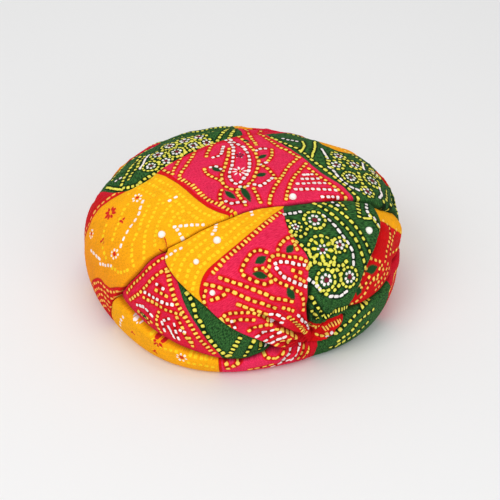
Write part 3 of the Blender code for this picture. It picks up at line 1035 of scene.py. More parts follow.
# The figures of each wrap's print, in mm right, mm back. A row has its style, ink and places, and
# a slash starts the next one like it. A leaf has its width and tips, and a flower its kind, half
# width and middle. Rows ruled across a wrap have style, ink, share across it, and shares along it
# where they start and end. Rows beside a seam have its name, style, ink, the dye that they keep to
# and distances in mm.
CHARTS = {
    "crown_wrap": """
    bars yellow -57,-10 -47,-24 -34,-42 -22,-51 -11,-60
    dots yellow -57,-5 -50,14 -43,42 / -74,11 -68,4 -63,-2 / -62,4 -57,25
    # the white inner and yellow outer outlines of the paisley
    beads white -17,57 -12,48 -10,34 -11,14 -13,-1 -14,-11 -10,-20 -6,-22 -2,-16 2,-5 4,9 3,26
        -1,39 -7,48 -13,57
    beads yellow -14,37 -15,23 -17,11 -19,-1 -21,-11 -19,-22 -15,-28 -9,-31 -4,-30 1,-26 6,-18
        9,-6 11,7 11,22 8,36 3,47 -1,58 -6,65
    dots white -30,5 -25,6 -21,2
    dots yellow -35,2 -33,-7 -29,-12 -22,-18
    dots white 10,36 15,40 19,40
    dots yellow 24,38 23,25 20,16
    dots white 18,12 13,9
    dots yellow 15,6 20,1 24,-8 26,-14
    dots white 8,-25 13,-26 18,-21 23,-14
    dots yellow -20,-32 -21,-41 -19,-49
    dots white -16,-47 -11,-50 -6,-49 -1,-49
    dots yellow -7,-35 -4,-43 0,-53 / 7,-31 10,-40 13,-50
    dots white -4,-27 2,-26
    dots yellow -34,25 -32,37 -28,49 -24,55
    dots white -28,22 -24,24 -20,30 -19,42
    # the right half of the pink patch
    dots yellow 46,24 38,9 32,-9 26,-25 22,-41 21,-51 / 52,14 47,1 41,-13 37,-27 35,-44
    dots white 51,-5 58,-3 / 49,-12 63,-9 / 45,-20 69,-14 / 43,-29 78,-22 / 66,-35 80,-31
    dots yellow 12,80 21,64 29,47 37,36 44,25 / 5,67 10,48 / 55,6 65,-5 75,-15 83,-23 87,-29
    # the green patch at the right
    beads yellow 25,68 36,52 48,38 57,22 74,3 88,-12 99,-24
    stroke white 67,46 69,37 71,30
    dashes white 73,13 78,7 83,-1 88,-7 93,-11 99,-12
    stroke yellow 52,61 52,48 48,36 / 63,66 61,48 57,28
    dots white 35,66 47,60
    dashes yellow 132,17 132,10 131,-1 / 127,-9 128,-18 / 136,-3 135,-12
    stroke white 105,43 105,37 106,31
    dots yellow 48,97 73,84 101,64 130,39 150,24
    bars yellow 42,89 68,76 94,58 124,33
    dots yellow 100,17 103,5 107,-2 / 70,32 73,14
    # the yellow patch at the left
    dashes white -90,-35 -96,-53 -105,-64 -113,-75 / -157,-45 -151,-56 -146,-65
    dots white -147,-70 -139,-78 -131,-84 / -66,-42 -61,-39 / -59,-74 -46,-74 -34,-74 / -56,-78
        -51,-87 -47,-94
    dots pale -104,-32 -110,-41 -116,-53 -122,-63 / -85,-43 -90,-56 -94,-69 -100,-79 -101,-90
        -100,-100 / -75,-38 -79,-52 -84,-65 -87,-77 -88,-88 -88,-97 / -65,-49 -70,-57 -75,-69
        -77,-80 -77,-89 / -53,-58 -60,-63 -64,-72 / -127,-42 -133,-50 -136,-61 -135,-73 /
        -130,-87 -118,-98 -108,-100 / -25,-61 -16,-68 -8,-62
    dashes white 122,10 125,3 122,-6
    # the thread that holds the pinch beside the first pearl
    thread red -67,-84 -66,-92 -66,-99 / -72,-94 -66,-98 -59,-102
    leaf 5.5 -29,6 -21,-4
    leaf 5 11,20 19,28
    leaf 6 9,-10 19,-6
    leaf 5.5 -17,-32 -8,-44
    leaf 5.5 -3,-27 4,-48
    leaf 4 -2,60 4,54
    flower petals 7 -121,-31
    flower spark 5.5 -95,-27
    flower spark 5 -149,-31
    flower spark 5.5 -122,-78
    flower mark 3.5 -110,-49
    flower mark 3.5 -135,-54
    flower rosette 8 -5,-3
    flower dark 5 -5,25
    flower ring 8.5 79,21
    flower ring 8 96,31
    flower wheel 8.5 93,5
    flower wheel 9.5 114,15
    flower ring 7.5 109,-8
    flower ring 7.5 81,40
    flower ring 7.5 118,36
    beside crown_yellow_pink dots pale yellow -7 -15 -24 -33
    beside crown_red_yellow dashes orange red -5
    beside crown_dark_yellow dashes orange red -4 -10 -16 -22 -28
    """,
    "front_wrap": """
    dots white -66,-101 -61,-99 -53,-96 / -24,-72 -24,-79 -26,-85 / 5,-60 6,-65
    # the pink patch
    bars yellow 30,-64 14,-81 1,-95 -12,-107 -26,-121
    beads yellow -20,-126 -7,-132 6,-137 19,-142 27,-145 44,-146 / -32,-130 -21,-134 -9,-139
        3,-145 16,-149 29,-153
    dots yellow -33,-135 -35,-141 -34,-149 / -28,-143 -22,-142 -17,-140
    dots white 26,-117 30,-115 38,-115 45,-116 52,-115 / 27,-121 32,-126 39,-129 47,-131
        55,-132
    dots yellow 20,-119 22,-112 28,-109 37,-110 46,-110 53,-112 / 18,-123 23,-128 30,-132
        37,-134 48,-137 / -3,-122 -1,-117 2,-112 6,-107 12,-105 18,-107 / -1,-126 4,-129
        10,-132 / 28,-104 30,-99 34,-94 40,-89 / 41,-95 45,-102 / 42,-121 49,-122
    dots orange 45,-126 53,-128
    dots yellow 9,-122 15,-121 / -20,-162 -17,-157 -11,-156 -3,-156 6,-156 15,-159 22,-162
        28,-168 / -9,-163 -1,-162 9,-163
    dots white -8,-169 -11,-163
    dashes white 15,-179 20,-176 30,-173 / 25,-184 33,-178 39,-175 / 28,-188 37,-183 46,-179
    dashes yellow 39,-188 44,-184 53,-181 / 48,-190 55,-184 62,-181 / 35,-172 50,-175 62,-179
    dots yellow 6,-173 12,-170 23,-168
    dashes white 26,-158 31,-158 39,-161 / 29,-165 39,-166
    dots yellow -21,-160 -19,-164 / -15,-161 -14,-168
    dashes yellow -5,-149 5,-153 21,-158
    dots yellow 11,-132 18,-134 23,-132
    bars yellow 44,-159 51,-162 59,-166 70,-172 77,-176
    dashes white 54,-157 59,-159 67,-163 73,-166 79,-170
    dots orange 52,-139 57,-145 58,-151
    dots yellow 37,-152 47,-153
    ticks orange 96,-156 104,-152 111,-146
    ticks yellow 80,-167 86,-166 91,-162
    # the green patch
    beads yellow 59,-44 69,-52 79,-60 89,-69 98,-78 104,-86 112,-95 / 68,-42 80,-49 91,-58
        101,-68 109,-76 116,-83
    dots white 75,-38 79,-42
    dots yellow 82,-37 86,-45
    dots white 34,-65 41,-62 47,-60
    dashes white 67,-60 75,-67 82,-75 89,-82 95,-89 98,-98 / 99,-124 93,-130 84,-133
    dots white 58,-126 64,-128 70,-131
    dots yellow 71,-132 78,-133 / 36,-73 42,-73 / 39,-85 45,-89 51,-86 53,-80
    bars yellow 99,-30 99,-41 99,-49
    stroke yellow 104,-48 111,-44
    dashes yellow 111,-41 116,-46 123,-52
    dashes white 115,-42 120,-47
    dots yellow 79,-112 80,-106 86,-106 90,-100
    dots white 108,-27 107,-36 110,-42
    dots yellow 64,-140 70,-144 77,-148 84,-151 / 70,-151 79,-156
    ticks yellow 87,-152 94,-145 103,-139 115,-131
    dots yellow 57,-112 55,-117 / 44,-95 50,-99 56,-104 62,-109 57,-114 / 69,-107 74,-109
        79,-105 / 83,-110 88,-114 89,-121 86,-127
    leaf 7 8,-117 18,-111
    leaf 6 6,-125 20,-129
    leaf 6 35,-107 41,-99
    leaf 6 38,-136 46,-144
    flower wheel 10.5 59,-67
    flower ring 6 43,-79
    flower blossom 12.5 67,-97
    flower ring 7.5 82,-87
    flower wheel 10 74,-122
    flower wheel 9.5 97,-111
    beside fan_yellow_pink dots pale yellow -6 -14 -22 -30 -38
    """,
    "brow_wrap": """
    dots yellow -71,-100 -86,-107 -101,-112 -122,-116 / -68,-111 -81,-116 -92,-121 -104,-124
        -120,-124 / -97,-129 -84,-138 -72,-146 -59,-152
    bars yellow -67,-113 -65,-123 -63,-133 -60,-144 -56,-153 -52,-163 -47,-175 -40,-186
        -33,-196
    dots white -78,-122 -72,-127
    dots yellow -80,-127 -70,-134
    dots white -94,-125 -82,-134 -72,-140 -66,-142 / -111,-132 -102,-136
    dashes white -99,-140 -95,-146
    dots yellow -113,-138 -104,-146 -99,-152 / -83,-146 -89,-151 -92,-159 -92,-165
    dots white -80,-154 -74,-154
    dashes white -83,-156 -84,-163
    stroke white -77,-161 -75,-173
    dashes white -69,-160 -70,-166 -70,-174
    dots white -64,-166 -60,-169
    dots yellow -64,-154 -62,-161 -61,-170 -57,-180
    wide yellow -50,-135 -47,-141 -45,-148 -44,-156 -40,-164 -39,-171 -34,-181 -28,-190
        -22,-197 -18,-201
    bars yellow -15,-200 -9,-191 -3,-182
    wide yellow 4,-203 9,-193 13,-187
    dots yellow 22,-197 23,-189
    dots white 30,-195 32,-191
    dots yellow -56,-175 -56,-185 / -116,-138 -107,-146 -106,-152
    leaf 5 -111,-140 -104,-148
    """,
    "back_left_wrap": """
    stroke yellow -127,19 -117,5 -110,-2
    dots yellow -110,5 -107,16 -103,29 -99,41 -96,52 / -103,9 -100,18 -96,27 -94,39 -91,49 /
        -108,-1 -101,-3 -95,-3
    dots white -116,18 -111,18
    dots yellow -121,27 -113,54 / -24,61 -21,72 -18,82 -15,93 / -14,66 -12,75 -10,86
    dots orange 5,76 2,89 0,99 / 14,82 15,91 16,100
    dots yellow -92,-1 -78,10 -66,24 / -60,33 -47,45 -30,56
    stroke white -93,22 -90,32 -89,40 -87,48
    flower wheel 8.5 -83,22
    flower ring 8.5 -78,42
    flower wheel 8.5 -68,57
    flower ring 7 -70,28
    flower wheel 8.5 -61,41
    flower ring 8.5 -54,64
    flower wheel 8 -46,51
    flower ring 8 -41,68
    flower ring 6.5 -34,57
    ruled dots yellow 0.84 0.12 0.9
    ruled dashes white 0.93 0.12 0.9
    """,
    "side_wrap": """
    dots orange 129,-32 139,-34 140,-45 138,-61 139,-73 / 149,-25 145,-46 145,-60 / 120,-82
        132,-79 140,-81 / 117,-94 116,-100 115,-106 117,-111 / 146,-70 147,-80 143,-90 139,-99
        / 153,-70 154,-80 150,-91 145,-100
    dots yellow 134,-84 135,-90 131,-96
    dots orange 137,-93 130,-99 128,-107 128,-114 125,-122 121,-129 116,-134
    dots yellow 124,-99 123,-105 120,-112 / 114,-117 113,-123 114,-129
    leaf 8 118,-97 130,-85
    leaf 5 118,-112 120,-120
    ruled dots yellow 0.3 0.45 0.97
    ruled dashes white 0.5 0.66 0.95
    ruled dots yellow 0.7 0.55 0.93
    """,
    "rear_rim_roll": """
    wide yellow 142,-112 134,-124 130,-132 126,-140 121,-151 115,-162 / 154,-116 145,-129
        141,-139 139,-149 133,-158 128,-166 / 160,-128 156,-140 152,-150 144,-159 135,-168 /
        134,-172 124,-176
    ruled dots yellow 0.3 0.22 0.97
    ruled dots yellow 0.55 0.22 0.97
    ruled bars yellow 0.78 0.22 0.97
    """,
    "knot_tuck": """
    ticks orange 95,-163 99,-158 104,-153 109,-148
    dots yellow 92,-172 97,-171 101,-166
    dots white 106,-163 103,-168
    """,
    "front_rim_roll": """
    wide yellow -21,-203 -18,-215 / -11,-212 -3,-208 4,-202
    dots yellow 26,-198 31,-203 40,-204
    dashes yellow 45,-203 51,-198 54,-191
    dashes white 56,-205 61,-197 62,-187 / 69,-204 73,-196 76,-187 / 45,-217 54,-210 63,-205
    dashes yellow 12,-220 28,-217 41,-213
    dashes orange 80,-202 82,-193 82,-184
    dashes yellow 88,-198 90,-188
    dots white -143,-131 -153,-131 -163,-131 / -125,-137 -124,-142
    dots pale -106,-157 -99,-175 -77,-186 / -61,-193 -47,-199 -36,-201 / -67,-201 -49,-206
        -37,-210
    flower petals 6.5 -97,-171
    flower spark 4.5 -119,-144
    flower spark 6 -73,-193
    flower mark 3.5 -137,-151
    flower mark 3.5 -111,-180
    """,
    "rear_wrap": """
    ruled dots yellow 0.16 0.02 0.98
    ruled bars yellow 0.3 0.02 0.98
    ruled dots white 0.46 0.02 0.98
    ruled dots yellow 0.62 0.02 0.98
    ruled dashes white 0.76 0.02 0.98
    ruled bars yellow 0.9 0.02 0.98
    """,
}


@dataclass(frozen=True)
class Finish:
    """A material that starts from a real one, with helpers that write its node tree."""

    name: str

    def start(self) -> tuple[Material, AddNode]:
        """A new material, and the function that adds a node to its tree."""
        material = bpy.data.materials.new(self.name)
        material.use_nodes = True
        return material, partial(add_node, material.node_tree)

    def surface(self, material: Material, values: dict[str, object]) -> Material:
        """The material, with its shader's inputs set by name to values or nodes."""
        shader = material.node_tree.nodes["Principled BSDF"]
        for name, value in values.items():
            feed(shader.inputs[name], value)
        return material


def linear(hex_colour: str) -> tuple[float, float, float, float]:
    """An sRGB hex colour as linear values with full opacity."""
    parts = [int(hex_colour[start:start + 2], 16) / 255 for start in (1, 3, 5)]
    return (*(part / 12.92 if part <= 0.04045 else ((part + 0.055) / 1.055) ** 2.4
              for part in parts), 1.0)


def feed(socket: NodeSocket, value: object) -> None:
    """Feed an input.

    Args:
        socket: The input.
        value: What it gets: a value, a socket, or a node, which gives its first output in use.
    """
    if isinstance(value, Node):
        value = next(output for output in value.outputs if output.enabled)
    if isinstance(value, NodeSocket):
        socket.id_data.links.new(value, socket)
    elif value is not None:
        socket.default_value = value


def add_node(tree: NodeTree, kind: str, *feeds: object, **settings: object) -> Node:
    """Add a node with its settings, values and links.

    Args:
        tree: The node tree.
        kind: The node's type.
        feeds: Values, sockets or nodes for its inputs in use, in their order; None skips one.
        settings: Values for its own properties.

    Returns:
        The node.
    """
    node = tree.nodes.new(kind)
    for name, value in settings.items():
        setattr(node, name, value)
    for socket, value in zip([socket for socket in node.inputs if socket.enabled], feeds):
        feed(socket, value)
    return node


@dataclass(frozen=True)
class PrintedCotton(Finish):
    """Plain-woven cotton mulmul, tie-dyed and printed in patches: matt, with soft-edged dots."""

    name: str = "plain-woven cotton, dyed and printed"
    yellow: tuple[str, str] = ("#FFB50A", "#F47A0C")
    red: tuple[str, str] = ("#E81E52", "#CE0408")
    red_slub: str = "#FF6088"
    row_red: str = "#DC0A14"
    green: tuple[str, str] = ("#0D3013", "#3A7033")
    row_green: str = "#0A300E"
    inks: tuple[str, ...] = ("#FFB82A", "#E2DE34", "#FF8A14", "#FFF5F2", "#FFD51E", "#D8201C",
                             "#7A1530", "#17471F")
    bleached: str = "#FFF47E"
    bleach: float = 0.6
    # distances in mm from a row of marks over which the dye beside it fades out
    row_fade: tuple[float, float] = (2.0, 3.6)
    gap_fade: tuple[float, float] = (0.8, 2.3)
    gap_value: float = 0.45
    thin_dye: float = 0.2
    seam_value: float = 0.72
    squareness: float = 3.4
    edge_wander: float = 0.55
    wander_size: float = 1.3 * MM
    thread_pitch: float = 0.9 * MM
    slub_width: float = 0.8 * MM
    slub_length: float = 2.6 * MM
    mottle_size: float = 11.0 * MM
    # least and most brightness from the weave, the uneven dye and the thick threads
    weave_value: tuple[float, float] = (0.94, 1.05)
    mottle_value: tuple[float, float] = (0.93, 1.06)
    slub_value: tuple[float, float] = (0.86, 1.12)
    # heights of weave, thick threads and seams, and the relief's strength and depth
    weave_height: float = 0.35
    slub_height: float = 2.2
    seam_height: float = 3.0
    relief: tuple[float, float] = (0.45, 0.25 * MM)
    seam_width: float = 2.0
    hem_band: tuple[float, float] = (3.2, 4.6)
    mark_edge: tuple[float, float] = (0.75, 1.3)

    def material(self) -> Material:
        """Write the cloth's material; it reads the attributes that Print writes."""
        material, add = self.start()
        place = add("ShaderNodeTexCoord").outputs["Object"]
        mottle = add("ShaderNodeTexNoise", place, 1 / self.mottle_size, 3.0)
        slub = self.slubs(add)
        seam, colour = self.ground_colour(add, slub)
        wobble = add("ShaderNodeTexNoise", place, 1 / self.wander_size, 1.0).outputs["Color"]
        centred = add("ShaderNodeVectorMath", wobble, (0.5, 0.5, 0.5), operation="SUBTRACT")
        wander = add("ShaderNodeVectorMath", centred, (self.edge_wander, self.edge_wander, 0.0),
                     operation="MULTIPLY")
        for layer in ("mark_under", "mark_over"):
            colour = self.printed(add, layer, wander, mottle, colour)
        weave = self.weave(add)
        value = add("ShaderNodeMapRange", weave, -1.0, 1.0, *self.weave_value)
        fade = add("ShaderNodeMapRange", mottle, 0.3, 0.7, *self.mottle_value)
        streaks = add("ShaderNodeMapRange", slub, 0.0, 1.0, *self.slub_value)
        # painted shade of creases and folds, as the share of brightness kept
        kept = add("ShaderNodeAttribute", attribute_name="kept").outputs["Fac"]
        for share in (fade, streaks, kept, seam):
            value = add("ShaderNodeMath", value, share, operation="MULTIPLY")
        final = add("ShaderNodeHueSaturation", None, None, value, None, colour)
        height = add("ShaderNodeMath", slub, self.slub_height, operation="MULTIPLY")
        for share, part in ((self.weave_height, weave), (self.seam_height, seam)):
            height = add("ShaderNodeMath", part, share, height, operation="MULTIPLY_ADD")
        bump = add("ShaderNodeBump", *self.relief, None, height)
        return self.surface(material, {"Base Color": final, "Normal": bump, "Roughness": 0.82,
                                       "IOR": 1.46, "Specular IOR Level": 0.15})

    def slubs(self, add: AddNode) -> Node:
        """Thick and thin stretches of the threads, from 0 to 1 along the cloth."""
        cloth = add("ShaderNodeUVMap", uv_map="cloth")
        drawn = add("ShaderNodeVectorMath", cloth,
                    (1 / self.slub_width, 1 / self.slub_length, 0.0), operation="MULTIPLY")
        noisy = add("ShaderNodeTexNoise", drawn, 1.0, 2.0)
        return add("ShaderNodeMapRange", noisy, 0.34, 0.66)

    def weave(self, add: AddNode) -> Node:
        """A plain weave along the cloth; its real 0.35 mm threads are drawn coarser to show."""
        cloth = add("ShaderNodeUVMap", uv_map="cloth")
        turns = add("ShaderNodeVectorMath", cloth, math.pi / self.thread_pitch, operation="SCALE")
        x, y, _ = add("ShaderNodeSeparateXYZ", turns).outputs
        waves = [add("ShaderNodeMath", part, operation="SINE") for part in (x, y)]
        return add("ShaderNodeMath", *waves, operation="MULTIPLY")

    def ground_colour(self, add: AddNode, slub: Node) -> tuple[Node, ...]:
        """Colour of the dyed patches, and a value that darkens their sewn seams.

        Args:
            add: The function that adds a node.
            slub: How thick the threads are, from 0 to 1: thick ones take up less dye.

        Returns:
            The seam value and the colour.
        """
        ground = add("ShaderNodeAttribute", attribute_name="ground").outputs["Vector"]
        shade, from_row = (add("ShaderNodeAttribute", attribute_name=name).outputs["Fac"]
                           for name in ("shade", "from_row"))
        yellow, red, green = add("ShaderNodeSeparateXYZ", ground).outputs
        # red bands along the rows of the hems, where red meets yellow
        near_row = add("ShaderNodeMapRange", from_row, *self.row_fade, 1.0, 0.0, **SMOOTH)
        near_seam = add("ShaderNodeMapRange", red, *self.hem_band, 1.0, 0.0, **SMOOTH)
        beside_yellow = add("ShaderNodeMath", yellow, green, operation="GREATER_THAN")
        hem_band = add("ShaderNodeMath", near_seam, beside_yellow, operation="MULTIPLY")
        red_band = add("ShaderNodeMath", near_row, hem_band, operation="MAXIMUM")
        # the three dyes
        yellow_ground = add("ShaderNodeMix", shade, *map(linear, self.yellow), **COLOUR)
        thin_dye = add("ShaderNodeMath", slub, self.thin_dye, operation="MULTIPLY")
        pink = add("ShaderNodeMix", thin_dye, linear(self.red[0]), linear(self.red_slub), **COLOUR)
        red_ground = add("ShaderNodeMix", shade, pink, linear(self.red[1]), **COLOUR)
        red_rows = add("ShaderNodeMix", red_band, red_ground, linear(self.row_red), **COLOUR)
        green_ground = add("ShaderNodeMix", slub, *map(linear, self.green), **COLOUR)
        green_rows = add("ShaderNodeMix", near_row, green_ground, linear(self.row_green), **COLOUR)
        # dark gaps between the marks of a row
        gap = add("ShaderNodeMapRange", from_row, *self.gap_fade, self.gap_value, 1.0, **SMOOTH)
        red_gaps, green_gaps = (
            add("ShaderNodeHueSaturation", None, None, gap, None, rows)
            for rows in (red_rows, green_rows))
        # the patch that a place is deepest in gives its colour
        redder = add("ShaderNodeMath", red, yellow, operation="GREATER_THAN")
        warm = add("ShaderNodeMix", redder, yellow_ground, red_gaps, **COLOUR)
        top = add("ShaderNodeMath", red, yellow, operation="MAXIMUM")
        greener = add("ShaderNodeMath", green, top, operation="GREATER_THAN")
        colour = add("ShaderNodeMix", greener, warm, green_gaps, **COLOUR)
        # the seam is where the two deepest are alike
        low = add("ShaderNodeMath", red, yellow, operation="MINIMUM")
        other = add("ShaderNodeMath", top, green, operation="MINIMUM")
        second = add("ShaderNodeMath", low, other, operation="MAXIMUM")
        best = add("ShaderNodeMath", top, green, operation="MAXIMUM")
        lead = add("ShaderNodeMath", best, second, operation="SUBTRACT")
        seam = add("ShaderNodeMapRange", lead, 0.0, self.seam_width, self.seam_value, 1.0,
                   **SMOOTH)
        return seam, colour

    def printed(self, add: AddNode, layer: str, wander: Node, mottle: Node, colour: Node) -> Node:
        """Print one layer of marks over a colour.

        Args:
            add: The function that adds a node.
            layer: The attribute with each corner's place in its mark, and the ink code.
            wander: The unevenness of the marks' edges.
            mottle: Uneven take-up of the dye.
            colour: What the marks are printed on.

        Returns:
            The colour with the marks on it.
        """
        mark = add("ShaderNodeAttribute", attribute_name=layer).outputs["Vector"]
        moved = add("ShaderNodeVectorMath", mark, wander, operation="ADD")
        across = add("ShaderNodeVectorMath", moved, operation="ABSOLUTE")
        x, y, code = add("ShaderNodeSeparateXYZ", across).outputs
        powers = [add("ShaderNodeMath", part, self.squareness, operation="POWER")
                  for part in (x, y)]
        dot = add("ShaderNodeMath", *powers, operation="ADD")
        pointed = add("ShaderNodeMath", x, x, y, operation="MULTIPLY_ADD")
        is_leaf = add("ShaderNodeMath", code, LEAF_CODE - 0.5, operation="GREATER_THAN")
        form = add("ShaderNodeMix", is_leaf, dot, pointed)
        uneven = add("ShaderNodeMapRange", mottle, 0.35, 0.6, 0.86, 1.0)
        strength = add("ShaderNodeMath", uneven, is_leaf, operation="MAXIMUM")
        cover = add("ShaderNodeMapRange", form, *self.mark_edge, 1.0, 0.0, **SMOOTH)
        mask = add("ShaderNodeMath", cover, strength, operation="MULTIPLY")
        # a ramp with one step for each ink
        count = len(self.inks)
        number = add("ShaderNodeMath", code, float(LEAF_CODE), operation="MODULO")
        step = add("ShaderNodeMath", number, 1 / count, 0.5 / count, operation="MULTIPLY_ADD")
        ramp = add("ShaderNodeValToRGB", step)
        ramp.color_ramp.interpolation = "CONSTANT"
        stops = ramp.color_ramp.elements
        for index, ink in enumerate(self.inks):
            stop = stops[index] if index < 2 else stops.new(index / count)
            stop.position = index / count
            stop.color = linear(ink)
        # warm inks bleach towards the middle of a mark
        bleached = add("ShaderNodeMapRange", form, 0.02, 0.9, self.bleach, 0.0, **SMOOTH)
        is_warm = add("ShaderNodeMath", number, Ink.WHITE.value - 0.5, operation="LESS_THAN")
        lighter = add("ShaderNodeMath", bleached, is_warm, operation="MULTIPLY")
        ink_colour = add("ShaderNodeMix", lighter, ramp, linear(self.bleached), **COLOUR)
        return add("ShaderNodeMix", mask, colour, ink_colour, **COLOUR)


@dataclass(frozen=True)
class DyedCotton(Finish):
    """Piece-dyed cotton of the hidden inner turns: matt red, with the same weave."""

    name: str = "plain-woven cotton, piece-dyed"
    red: tuple[str, str] = ("#B4141F", "#D0202E")
    thread_pitch: float = 1.2 * MM
    mottle_size: float = 9.0 * MM

    def material(self) -> Material:
        """Write the material."""
        material, add = self.start()
        place = add("ShaderNodeTexCoord").outputs["Object"]
        mottle = add("ShaderNodeTexNoise", place, 1 / self.mottle_size, 5.0)
        colour = add("ShaderNodeMix", mottle, *map(linear, self.red), **COLOUR)
        threads = add("ShaderNodeTexWave", place, math.pi / (10 * self.thread_pitch), 1.5,
                      bands_direction="Z").outputs["Fac"]
        height = add("ShaderNodeMath", mottle, 3.0, threads, operation="MULTIPLY_ADD")
        bump = add("ShaderNodeBump", 0.4, 0.2 * MM, None, height)
        return self.surface(material, {"Base Color": colour, "Normal": bump, "Roughness": 0.85,
                                       "IOR": 1.46, "Specular IOR Level": 0.3})


@dataclass(frozen=True)
class PearlisedAcrylic(Finish):
    """Moulded acrylic with a pearlised coat: white, glossy and faintly cloudy."""

    name: str = "moulded acrylic, pearlised"
    body: tuple[str, str] = ("#F4EEE2", "#FFFDF8")
    cloud_size: float = 2.5 * MM

    def material(self) -> Material:
        """Write the material."""
        material, add = self.start()
        place = add("ShaderNodeTexCoord").outputs["Object"]
        cloud = add("ShaderNodeTexNoise", place, 1 / self.cloud_size)
        colour = add("ShaderNodeMix", cloud, *map(linear, self.body), **COLOUR)
        return self.surface(material, {"Base Color": colour, "Roughness": 0.18, "IOR": 1.49,
                                       "Coat Weight": 0.6, "Coat Roughness": 0.08})


@dataclass(frozen=True)
class FloorPaper(Finish):
    """Matt background paper: even and pale."""

    name: str = "matt paper backdrop"
    colour: str = "#EDEDED"

    def material(self) -> Material:
        """Write the material."""
        material, _ = self.start()
        return self.surface(material, {"Base Color": linear(self.colour), "Roughness": 0.95,
                                       "Specular IOR Level": 0.1})


def corner_vertices(mesh: Mesh) -> Array:
    """The vertex at each face corner of a mesh."""
    corners = np.empty(len(mesh.loops), np.int32)
    mesh.loops.foreach_get("vertex_index", corners)
    return corners


def add_object(name: str, data: ID) -> Object:
    """A new object in the scene for a mesh, a light or a camera."""
    item = bpy.data.objects.new(name, data)
    bpy.context.collection.objects.link(item)
    return item


def write_attribute(mesh: Mesh, name: str, values: Array, domain: str = "POINT") -> None:
    """Write an attribute: numbers from a flat array, or vectors from one with rows of three."""
    kind, key = ("FLOAT", "value") if values.ndim == 1 else ("FLOAT_VECTOR", "vector")
    mesh.attributes.new(name, kind, domain).data.foreach_set(
        key, values.astype(np.float32).ravel())


def face_outwards(mesh: Mesh, merged: float = 0.0) -> None:
    """Turn a closed mesh's faces outwards.

    Args:
        mesh: The mesh.
        merged: Distance in metres within which its points are merged first.
    """
    bm = bmesh.new()
    bm.from_mesh(mesh)
    if merged:
        bmesh.ops.remove_doubles(bm, verts=bm.verts, dist=merged)
    bmesh.ops.recalc_face_normals(bm, faces=bm.faces)
    bm.to_mesh(mesh)
    bm.free()


def finish_piece(name: str, mesh: Mesh, material: Material, slot: str, *nodes: str) -> Object:
    """Add a mesh to the scene as a piece that stands for CAD nodes.

    Args:
        name: The piece's name.
        mesh: Its mesh, with its place in it.
        material: Its finish.
        slot: The record's material slot.
        nodes: The nodes that it replaces.

    Returns:
        The piece.
    """
    mesh.shade_smooth()
    mesh.set_sharp_from_angle(angle=math.radians(SMOOTH_ANGLE))
    mesh.materials.clear()
    mesh.materials.append(material)
    piece = add_object(name, mesh)
    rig.ride(piece, "root")
    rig.replaces(piece, *nodes)
    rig.slot(piece, slot)
    LOG.info("%s: %d faces", name, len(mesh.polygons))
    return piece


